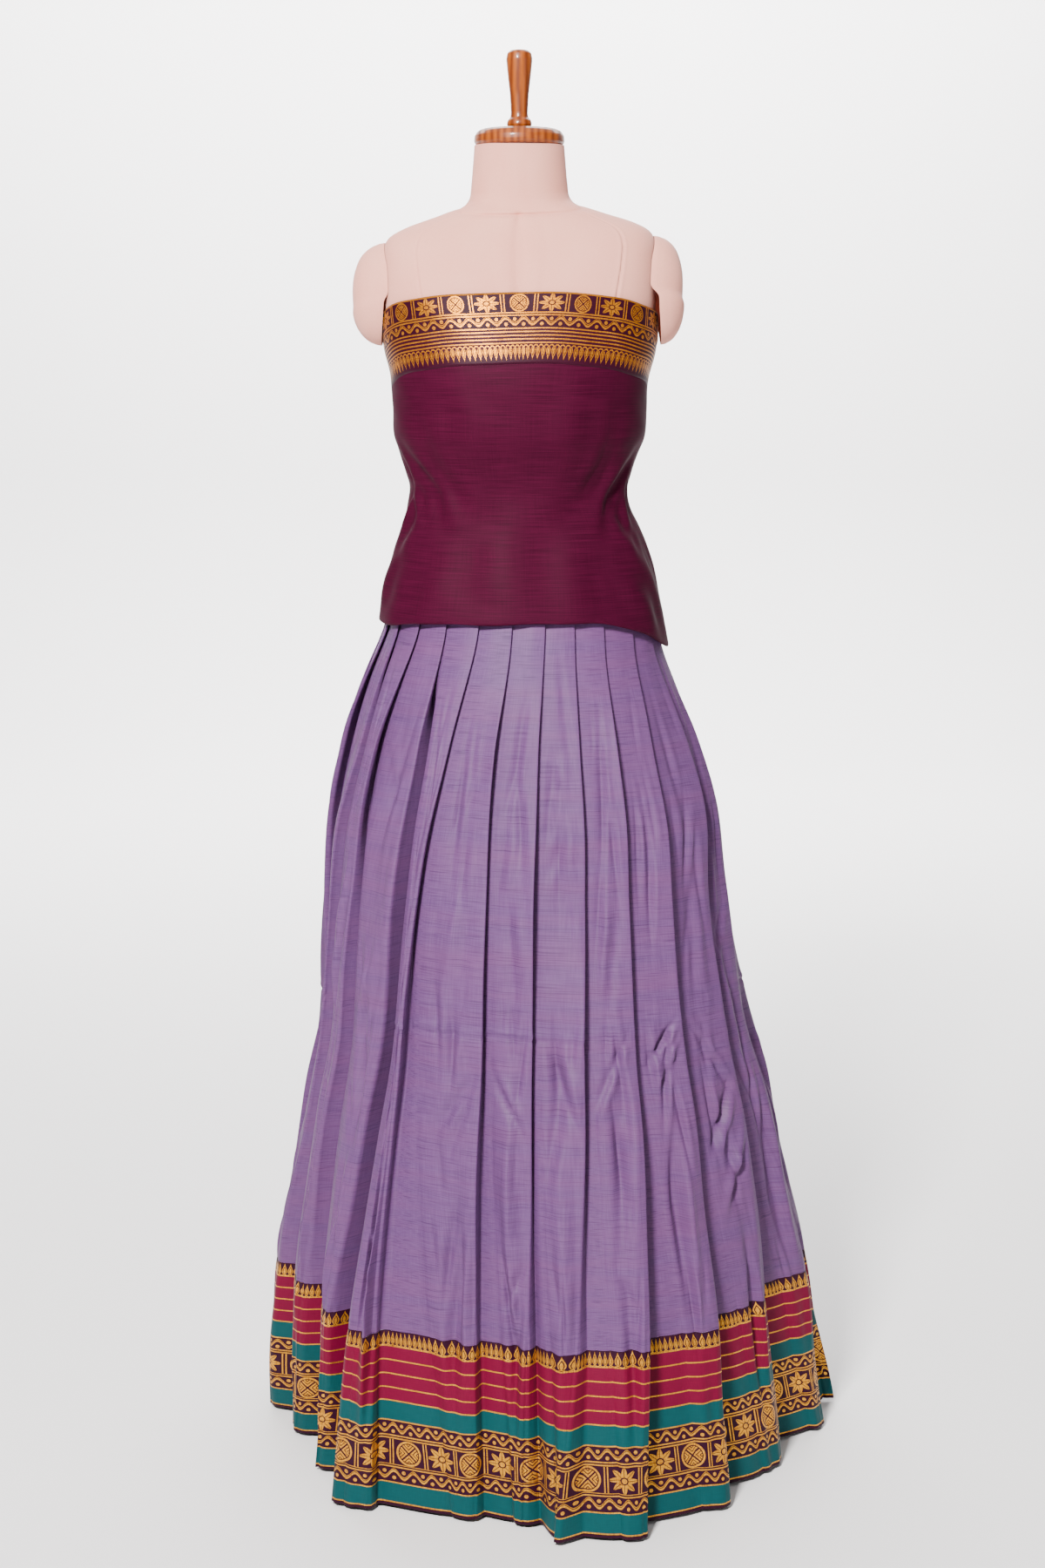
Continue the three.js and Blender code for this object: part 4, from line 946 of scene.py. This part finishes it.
def flower_and_wheel(tree, across, up, middle, pitch, height):
    """Alternate eight-petalled flowers and wheels between upright double bars."""
    share = add_node(tree, "DIVIDE", across, pitch)
    cell = add_node(tree, "FLOOR", share)
    in_cell = add_node(tree, "SUBTRACT", add_node(tree, "FRACT", share), 0.5)
    x = add_node(tree, "MULTIPLY", in_cell, pitch)
    y = add_node(tree, "SUBTRACT", up, middle)
    half = height / 2
    wide = add_node(tree, "DIVIDE", x, pitch / 2 - BARS_AND_GAP)
    tall = add_node(tree, "DIVIDE", y, half)
    squares = add_node(tree, "MULTIPLY_ADD", wide, wide, add_node(tree, "MULTIPLY", tall, tall))
    reach = add_node(tree, "SQRT", squares)
    angle = add_node(tree, "ARCTAN2", tall, wide)
    off_axis = add_node(tree, "PINGPONG", angle, math.pi / 8)
    edge = add_node(tree, "MULTIPLY_ADD", off_axis, -0.58 * 8 / math.pi, 1.1)
    petal = add_node(tree, "LESS_THAN", reach, edge)
    split = add_node(tree, "GREATER_THAN", add_node(tree, "MULTIPLY", off_axis, reach), 0.022)
    past_eye = add_node(tree, "GREATER_THAN", reach, 0.3)
    eye = add_node(tree, "LESS_THAN", reach, 0.2)
    flower = either(tree, both(tree, petal, split, past_eye), eye)
    distance = add_node(tree, "MULTIPLY_ADD", x, x, add_node(tree, "MULTIPLY", y, y))
    from_middle = add_node(tree, "SQRT", distance)
    rim = add_node(tree, "COMPARE", from_middle, half * 0.92, half * 0.08)
    disc = add_node(tree, "LESS_THAN", from_middle, half * 0.76)
    slant = add_node(tree, "SUBTRACT", add_node(tree, "ABSOLUTE", x), add_node(tree, "ABSOLUTE", y))
    stroke = add_node(tree, "DIVIDE", add_node(tree, "ABSOLUTE", slant), half * 0.28)
    nested = add_node(tree, "FRACT", stroke)
    wheel = either(tree, rim, both(tree, disc, add_node(tree, "GREATER_THAN", nested, 0.32)))
    half_cell = add_node(tree, "FRACT", add_node(tree, "MULTIPLY", cell, 0.5))
    odd = add_node(tree, "GREATER_THAN", half_cell, 0.25)
    even = add_node(tree, "SUBTRACT", 1.0, odd)
    shape = either(tree, both(tree, odd, wheel), both(tree, even, flower))
    side = add_node(tree, "SUBTRACT", pitch / 2, add_node(tree, "ABSOLUTE", x))
    shape = both(tree, shape, add_node(tree, "GREATER_THAN", side, 3.6))
    bars = add_node(tree, "COMPARE", side, 1.7, 0.7)
    return both(tree, either(tree, shape, bars), within(tree, y, -half, half))


def teardrops(tree, across, up, foot, tall, pitch):
    """Upright drops over a row of scallops. A negative height makes them hang."""
    rise = add_node(tree, "DIVIDE", add_node(tree, "SUBTRACT", up, foot), tall)
    x = add_node(tree, "PINGPONG", across, pitch / 2)
    from_tip = add_node(tree, "POWER", add_node(tree, "SUBTRACT", 1.0, rise), 1.6)
    half_turn = add_node(tree, "SINE", add_node(tree, "MULTIPLY", from_tip, math.pi))
    outside = add_node(tree, "MULTIPLY_ADD", half_turn, -pitch * 0.42, x)
    inside_edge = add_node(tree, "LESS_THAN", outside, 0.0)
    gap = add_node(tree, "COMPARE", outside, -pitch * 0.19, pitch * 0.05)
    filled = add_node(tree, "SUBTRACT", 1.0, gap)
    drop = both(tree, inside_edge, filled, within(tree, rise, 0.14, 1.0))
    angle = add_node(tree, "MULTIPLY", across, math.pi / pitch)
    swing = add_node(tree, "ABSOLUTE", add_node(tree, "SINE", angle))
    arc = add_node(tree, "MULTIPLY_ADD", swing, -0.14, 0.13)
    scallop = add_node(tree, "COMPARE", rise, arc, 0.05)
    return either(tree, drop, scallop)


def woven_finish(tree, place, ground, gold, relief_mm, gold_dark, gold_light, ground_rough):
    """Ground cloth with gold-coloured yarn floating over it where gold is 1."""
    rib = streaks(tree, place, (60, 1250, 1))
    warp = streaks(tree, place, (1250, 90, 1))
    thread = add_node(tree, "ShaderNodeMixRGB", 0.5, rib, warp)
    shade_range = {"From Min": 0.36, "From Max": 0.64}
    shade = add_node(tree, "ShaderNodeMapRange", thread, sockets=shade_range)
    yarn = add_node(tree, "ShaderNodeMixRGB", shade, linear(gold_dark), linear(gold_light))
    cloth = add_node(tree, "ShaderNodeMixRGB", 0.3, ground, thread, blend_type="OVERLAY")
    cover_range = {"From Min": 0.3, "From Max": 0.4, "To Min": 0.7}
    cover = add_node(tree, "ShaderNodeMapRange", thread, sockets=cover_range)
    amount = add_node(tree, "MULTIPLY", gold, cover)
    colour = add_node(tree, "ShaderNodeMixRGB", amount, cloth, yarn)
    raised = add_node(tree, "MULTIPLY_ADD", amount, 0.6, add_node(tree, "MULTIPLY", thread, 0.4))
    metallic = add_node(tree, "MULTIPLY", amount, 0.6)
    rough = add_node(tree, "MULTIPLY_ADD", amount, 0.4 - ground_rough, ground_rough)
    finish_material(
        tree, colour, raised, relief_mm, Metallic=metallic, Roughness=rough,
        Specular_IOR_Level=0.08, Sheen_Weight=0.02, Sheen_Roughness=0.4,
    )


# Silk border: ground with a soft gloss, pattern in flat gold-coloured yarn, 0.4 mm wide and
# drawn about 0.8 mm wide. Row heights and the 39 mm pitch of the motifs are the real ones.
def hem_border_silk():
    material, tree = new_material("woven silk border")
    place, across, up = place_on_cloth(tree)
    ground = ground_bands(tree, up, HEM_BANDS, BORDER_HEIGHT)
    gold = line_rows(tree, up, HEM_LINES, 1.5, BORDER_HEIGHT)
    for middle in (36.2, 89.2):
        row = wave_and_dots(tree, across, up, middle, 21.0, 4.2)
        gold = either(tree, gold, both(tree, row, within(tree, up, middle - 7.2, middle + 7.2)))
    motifs = flower_and_wheel(tree, across, up, 62.6, 39.0, 28.0)
    drops = teardrops(tree, across, up, 183.0, 16.5, 7.0)
    drops = both(tree, drops, within(tree, up, 182.6, 199.4))
    gold = either(tree, gold, motifs, drops)
    woven_finish(tree, place, ground, gold, 0.3, "#9A5C12", "#DC9E2C", 0.55)
    return material


HEM_BORDER_SILK = hem_border_silk()
TURNED_UP = [
    # height, and how far inside the border's face
    (17.0, 1.5), (11.0, 1.6), (6.6, 1.5), (5.2, 0.9), (5.0, 0.4),
]
FACE_HEIGHTS = [6.0, 9.0, 13.0, *np.arange(18, 180, 6.0), *np.arange(180, 204, 3.0), BORDER_JOIN]
BORDER_HEIGHTS, BORDER_INSETS = np.array(TURNED_UP + [(z, 0.0) for z in FACE_HEIGHTS]).T
for side, (first, last) in WIDTHS.items():
    border = pleated_width(
        f"woven_border_{side}", BORDER_HEIGHTS, BORDER_INSETS, first, last, HEM_BORDER_SILK,
    )
    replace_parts(border, f"hem_border_{side}")

# ---------------------------------------------------------------- choli: wound blouse length
# An unstitched blouse length of wine silk cotton, wound once round the form like a tube and
# pulled tight at the waist. Its lower edge is folded up inside in a soft roll. One end lies
# on top under the arm, where its corner hangs lower, and the other end stands off behind it.

CHOLI_BORDER = 79
CHOLI_MIDDLE = {"cloth": 1290, "border": 1345}   # heights at which distances round it are true
CHOLI_HEM = {
    "height": 1000, "corner": 90, "corner_drop": 39, "corner_reach": 62, "left_drop": 9,
    "left_reach": 80,
}
FLARE = {"height": 4, "middle": 103, "reach": 16, "bottom": 1292, "full": 1322}
FOLD_UNDER = 34
CHOLI_WALL = 0.5
UNDER_BORDER = {"up": 1.6, "in": 0.7}     # the cloth's last threads run in behind its border

CHOLI_CREASES = [
    # direction in degrees, height, half length, depth, width, slant (degrees for each mm up)
    (-74, 1160, 26, 2.4, 5, -0.24), (-66, 1139, 24, -1.7, 4, -0.3), (-82, 1128, 30, 2.6, 5, 0.2),
    (-58, 1172, 22, 1.3, 5, -0.35), (-46, 1136, 26, 1.2, 5, -0.25), (-70, 1098, 26, 1.5, 6, 0.22),
    (-34, 1150, 22, 0.9, 6, -0.2), (-24, 1060, 34, 0.8, 7, 0.05), (-12, 1120, 30, 0.7, 8, 0.04),
    (8, 1085, 40, 0.8, 9, 0.03), (24, 1132, 28, 0.9, 7, 0.12), (38, 1156, 24, 1.2, 6, 0.25),
    (50, 1126, 26, 1.3, 5, 0.25), (62, 1160, 26, 1.9, 5, 0.3), (70, 1128, 28, -1.7, 4, 0.24),
    (77, 1146, 26, 2.4, 5, 0.2), (66, 1086, 34, 1.8, 6, -0.2), (80, 1060, 36, 2.0, 6, -0.14),
    (54, 1030, 30, -1.2, 7, -0.12), (72, 1004, 26, 1.4, 6, -0.1), (-50, 1030, 30, 1.1, 7, 0.1),
    (-80, 1040, 34, -1.3, 6, 0.1), (30, 1250, 34, -0.8, 10, 0.1), (-30, 1262, 32, -0.7, 10, -0.1),
    (110, 1150, 26, 2.2, 5, -0.2), (124, 1134, 30, 1.6, 6, -0.22), (140, 1160, 30, 1.4, 7, -0.16),
    (158, 1120, 40, 1.2, 8, 0.06), (118, 1060, 34, 1.4, 7, 0.12), (150, 1050, 40, -1.2, 8, 0.06),
    (-104, 1146, 30, 2.0, 6, 0.2), (-122, 1130, 30, 1.5, 6, 0.2), (-140, 1158, 30, 1.4, 7, 0.14),
    (-160, 1110, 44, 1.1, 8, -0.05), (-118, 1050, 36, 1.3, 7, -0.12),
    (-148, 1040, 40, -1.1, 8, 0.0), (-33, 1210, 64, 1.3, 8, 0.0), (33, 1214, 70, 1.3, 8, 0.0),
    (45, 1190, 56, 1.2, 6, 0.04), (-45, 1188, 48, 1.2, 6, -0.05), (12, 1046, 52, 0.9, 8, 0.0),
    (-18, 1050, 56, 1.0, 8, 0.02), (34, 1036, 48, 1.2, 8, -0.03),
]


CHOLI_CREASE = 2.3       # all the creases together are this much deeper than the table says


def hump(direction, middle, reach):
    away = np.abs((direction - middle + 540) % 360 - 180)
    return np.where(away < reach, 0.5 + 0.5 * np.cos(np.pi * away / reach), 0.0)


def choli_top(direction):
    ahead = np.maximum(0, np.cos(np.radians(direction)))
    soft = 0.7 * np.sin(np.radians(direction * 5 + 20)) + 0.4 * np.sin(np.radians(direction * 11))
    return CHOLI_TOP["side"] + CHOLI_TOP["rise"] * ahead ** CHOLI_TOP["roundness"] + soft


def choli_hem(direction):
    corner = hump(direction, CHOLI_HEM["corner"], CHOLI_HEM["corner_reach"])
    left = hump(direction, -90, CHOLI_HEM["left_reach"])
    soft = 0.8 * np.sin(np.radians(direction * 7)) + 0.5 * np.sin(np.radians(direction * 13 + 40))
    height = CHOLI_HEM["height"] - CHOLI_HEM["corner_drop"] * corner
    return height - CHOLI_HEM["left_drop"] * left + soft


def choli_points(direction, z, inset, under):
    """Points of the wound length. under is 1 for the end that lies beneath the other."""
    lift = FLARE["height"] * under * hump(direction, FLARE["middle"], FLARE["reach"])
    lift = lift * smoothstep(z, FLARE["bottom"], FLARE["full"])
    relief = np.zeros_like(z)
    for at, height, half, depth, width, slant in CHOLI_CREASES:
        away = (direction - at + 180) % 360 - 180 - slant * (z - height)
        along = np.exp(-((z - height) / half) ** 2)
        beside = np.exp(-((away - np.sign(at) * -1.7 * width) / width) ** 2)
        relief -= CHOLI_CREASE * depth * along * (np.exp(-(away / width) ** 2) - 0.7 * beside)
    relief += 0.35 * np.sin(z / 9.0 + direction / 7.0) * np.sin(direction / 11.0 + z / 37.0)
    relief = np.clip(relief, -2.7, 4.0) * np.where(inset > 1, 0.0, 1.0)
    sizes = choli_outline(z.ravel()).reshape(*z.shape, len(SIZES))
    plan = on_outline(sizes, np.radians(direction), inset - relief - lift)
    return np.concatenate([plan, z[..., None]], -1)


HEM_ROLL = [
    # inset and height over the hem, from the turned-up edge inside, round the roll
    (4.2, FOLD_UNDER), (4.3, 26), (4.4, 18), (4.5, 11), (4.4, 6), (4.0, 3), (3.2, 1.1), (2.2, 0.2),
    (1.2, 0.4), (0.3, 1.6), (0, 3.6),
]


def choli_stretch(name, start, end, steps, under, material, bordered):
    """One stretch of the length: its plain cloth, or its woven border along the top."""
    middle = CHOLI_MIDDLE["border" if bordered else "cloth"]
    direction, distance = along_outline(choli_outline(middle)[0], start, end, steps)
    top, hem = choli_top(direction), choli_hem(direction)
    if bordered:
        share = np.linspace(0, 1, 30)[:, None]
        z = top - CHOLI_BORDER * (1 - share)
        inset = np.zeros_like(z)
        up = np.repeat(CHOLI_BORDER * share, steps, axis=1)
    else:
        roll = np.array(HEM_ROLL)
        lower = hem + roll[:, 1:]
        share = np.append(np.linspace(0, 1, 74)[1:-1], [0.997, 1])[:, None]
        join = top - CHOLI_BORDER - 0.3
        face = lower[-1:] + share * (join - lower[-1:])
        z = np.concatenate([lower, face, join[None] + UNDER_BORDER["up"]])
        insets = [*roll[:, 0], *np.zeros(len(share)), UNDER_BORDER["in"]]
        inset = np.repeat(np.array(insets)[:, None], steps, axis=1)
        up = np.concatenate([hem - roll[:, 1:] - 40, z[len(roll):]]) - 900
    turn = np.repeat(direction[None], len(z), axis=0)
    points = choli_points(turn, z, inset, under)
    around = np.repeat(distance[None], len(z), axis=0)
    cloth = np.stack([around, up], -1) * MM
    piece = grid_piece(name, points, cloth, material, wall=CHOLI_WALL)
    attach(piece, "root")
    return piece


# Fine silk cotton with a tight, even weft: nearly matt, with faint crosswise lines, threads
# 0.25 mm apart and drawn 1 mm apart. A red warp under the purplish weft gives the wine colour.
def wine_silk():
    material, tree = new_material("wine silk cotton")
    place = add_node(tree, "ShaderNodeUVMap", uv_map="cloth")
    weft, broad, warp = (
        streaks(tree, place, scale) for scale in ((18, 900, 1), (6, 240, 1), (900, 20, 1))
    )
    weave = add_node(tree, "ShaderNodeMixRGB", 0.15, weft, broad)
    weave = add_node(tree, "ShaderNodeMixRGB", 0.2, weave, warp)
    spread = add_node(tree, "ShaderNodeMapRange", weave, sockets={"From Min": 0.3, "From Max": 0.7})
    colour = add_node(tree, "ShaderNodeMixRGB", spread, linear("#290215"), linear("#3F0722"))
    rough = add_node(tree, "ShaderNodeMapRange", weave, sockets={"To Min": 0.54, "To Max": 0.68})
    finish_material(
        tree, colour, weave, 0.12, Roughness=rough, Specular_IOR_Level=0.04, Sheen_Weight=0.01,
        Sheen_Roughness=0.3, Sheen_Tint=linear("#B0507C"),
    )
    return material


WINE_SILK = wine_silk()

# ---------------------------------------------------------------- choli: zari border
# The upper edge of the same length: a woven border of gold-coloured zari on dark maroon,
# about 79 mm deep, with motifs, a row of waves and dots, stripes, and hanging drops below.

ZARI_BANDS = [(0, "#2A0316"), (40, "#260213")]
ZARI_STRIPES = [23.2, 27.2, 31.2, 35.2, 39.2]
ZARI_LINES = [53.4, 56.2, 77.8]
ZARI_HEIGHT = 80.0


def zari_border():
    material, tree = new_material("zari woven on dark maroon silk")
    place, across, up = place_on_cloth(tree)
    ground = ground_bands(tree, up, ZARI_BANDS, ZARI_HEIGHT)
    lines = line_rows(tree, up, ZARI_LINES, 1.6, ZARI_HEIGHT)
    stripes = line_rows(tree, up, ZARI_STRIPES, 1.6, ZARI_HEIGHT)
    row = wave_and_dots(tree, across, up, 46.6, 21.0, 3.4)
    row = both(tree, row, within(tree, up, 41.4, 52.2))
    shifted = add_node(tree, "ADD", across, 17.5 + 35.0)
    motifs = flower_and_wheel(tree, shifted, up, 67.2, 35.0, 19.6)
    drops = teardrops(tree, across, up, 20.6, -17.0, 6.4)
    drops = both(tree, drops, within(tree, up, 2.6, 21.4))
    gold = either(tree, lines, stripes, row, motifs, drops)
    woven_finish(tree, place, ground, gold, 0.3, "#7C4206", "#C47C12", 0.5)
    return material


ZARI_BORDER = zari_border()
STRETCHES = [
    # side, where it starts and ends in degrees, columns, and 1 where it lies beneath
    ("front", -180.0, 92.0, 250, 0.0), ("back", 84.0, 180.0, 100, 1.0),
]
for side, start, end, steps, under in STRETCHES:
    cloth_piece = choli_stretch(f"choli_cloth_{side}", start, end, steps, under, WINE_SILK, False)
    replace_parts(cloth_piece, f"choli_{side}")
    zari_piece = choli_stretch(f"choli_zari_{side}", start, end, steps, under, ZARI_BORDER, True)
    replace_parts(zari_piece, f"choli_border_{side}")

# ---------------------------------------------------------------- studio
# A pale seamless floor and backdrop under soft light, and the camera.


def backdrop():
    material, tree = new_material("matt studio paper")
    place = add_node(tree, "ShaderNodeTexCoord").node.outputs["Object"]
    patch = add_node(tree, "ShaderNodeTexNoise", place, sockets={"Scale": 0.8, "Detail": 2.0})
    colour = add_node(tree, "ShaderNodeMixRGB", patch, linear("#E0DEDE"), linear("#E6E4E4"))
    finish_material(tree, colour, None, 0, Roughness=0.95)
    front, depth, width, height = -6000, 5600, 9000, 6000
    radius = 900
    turn = np.radians(np.arange(6, 91, 6))
    bend = np.stack([depth - radius + radius * np.sin(turn), radius * (1 - np.cos(turn))], -1)
    profile = [(front, 0), (-1000, 0), (depth - radius, 0), *bend, (depth, height)]
    across = np.linspace(-width, width, 9)
    points = np.array([[(x, y, z) for x in across] for y, z in profile], float)
    cloth = points[..., :2] * MM
    piece = grid_piece("studio_paper", points, cloth, material)


backdrop()


def soft_light(name, place, aim, size, power, colour):
    light = bpy.data.lights.new(name, "AREA")
    light.shape = "RECTANGLE"
    light.size, light.size_y = size
    light.energy = power
    light.color = colour
    holder = bpy.data.objects.new(name, light)
    bpy.context.scene.collection.objects.link(holder)
    holder.location = place
    direction = np.array(aim, float) - np.array(place, float)
    tilt = math.atan2(direction[2], math.hypot(direction[0], direction[1]))
    heading = math.atan2(direction[1], direction[0])
    holder.rotation_euler = (math.pi / 2 + tilt, 0, heading - math.pi / 2)


soft_light("key", (-0.95, -3.0, 3.0), (0, 0, 0.9), (0.6, 0.6), 450, (1, 0.985, 0.97))
soft_light("fill", (2.8, -2.2, 1.6), (0, 0, 0.8), (1.6, 1.6), 12, (0.97, 0.98, 1))
soft_light("top", (0, 0.2, 3.6), (0, 0, 0), (3.0, 3.0), 40, (1, 1, 1))
soft_light("backdrop wash", (0, 3.9, 3.4), (0, 5.6, 1.0), (5.0, 1.0), 520, (1, 1, 1))
soft_light("floor wash", (0, 2.7, 3.6), (0, 3.1, 0), (5.0, 2.0), 300, (1, 1, 1))

world = bpy.data.worlds.new("studio")
world.use_nodes = True
world.node_tree.nodes["Background"].inputs["Color"].default_value = linear("#EDEBEB")
world.node_tree.nodes["Background"].inputs["Strength"].default_value = 0.24
bpy.context.scene.world = world

camera_data = bpy.data.cameras.new("camera")
camera_data.lens = 56
camera_data.sensor_width = 36
camera = bpy.data.objects.new("camera", camera_data)
bpy.context.scene.collection.objects.link(camera)
camera.location = (0.0036, -2.880, 1.307)
camera.rotation_euler = (math.radians(79.9), 0, 0)
bpy.context.scene.camera = camera
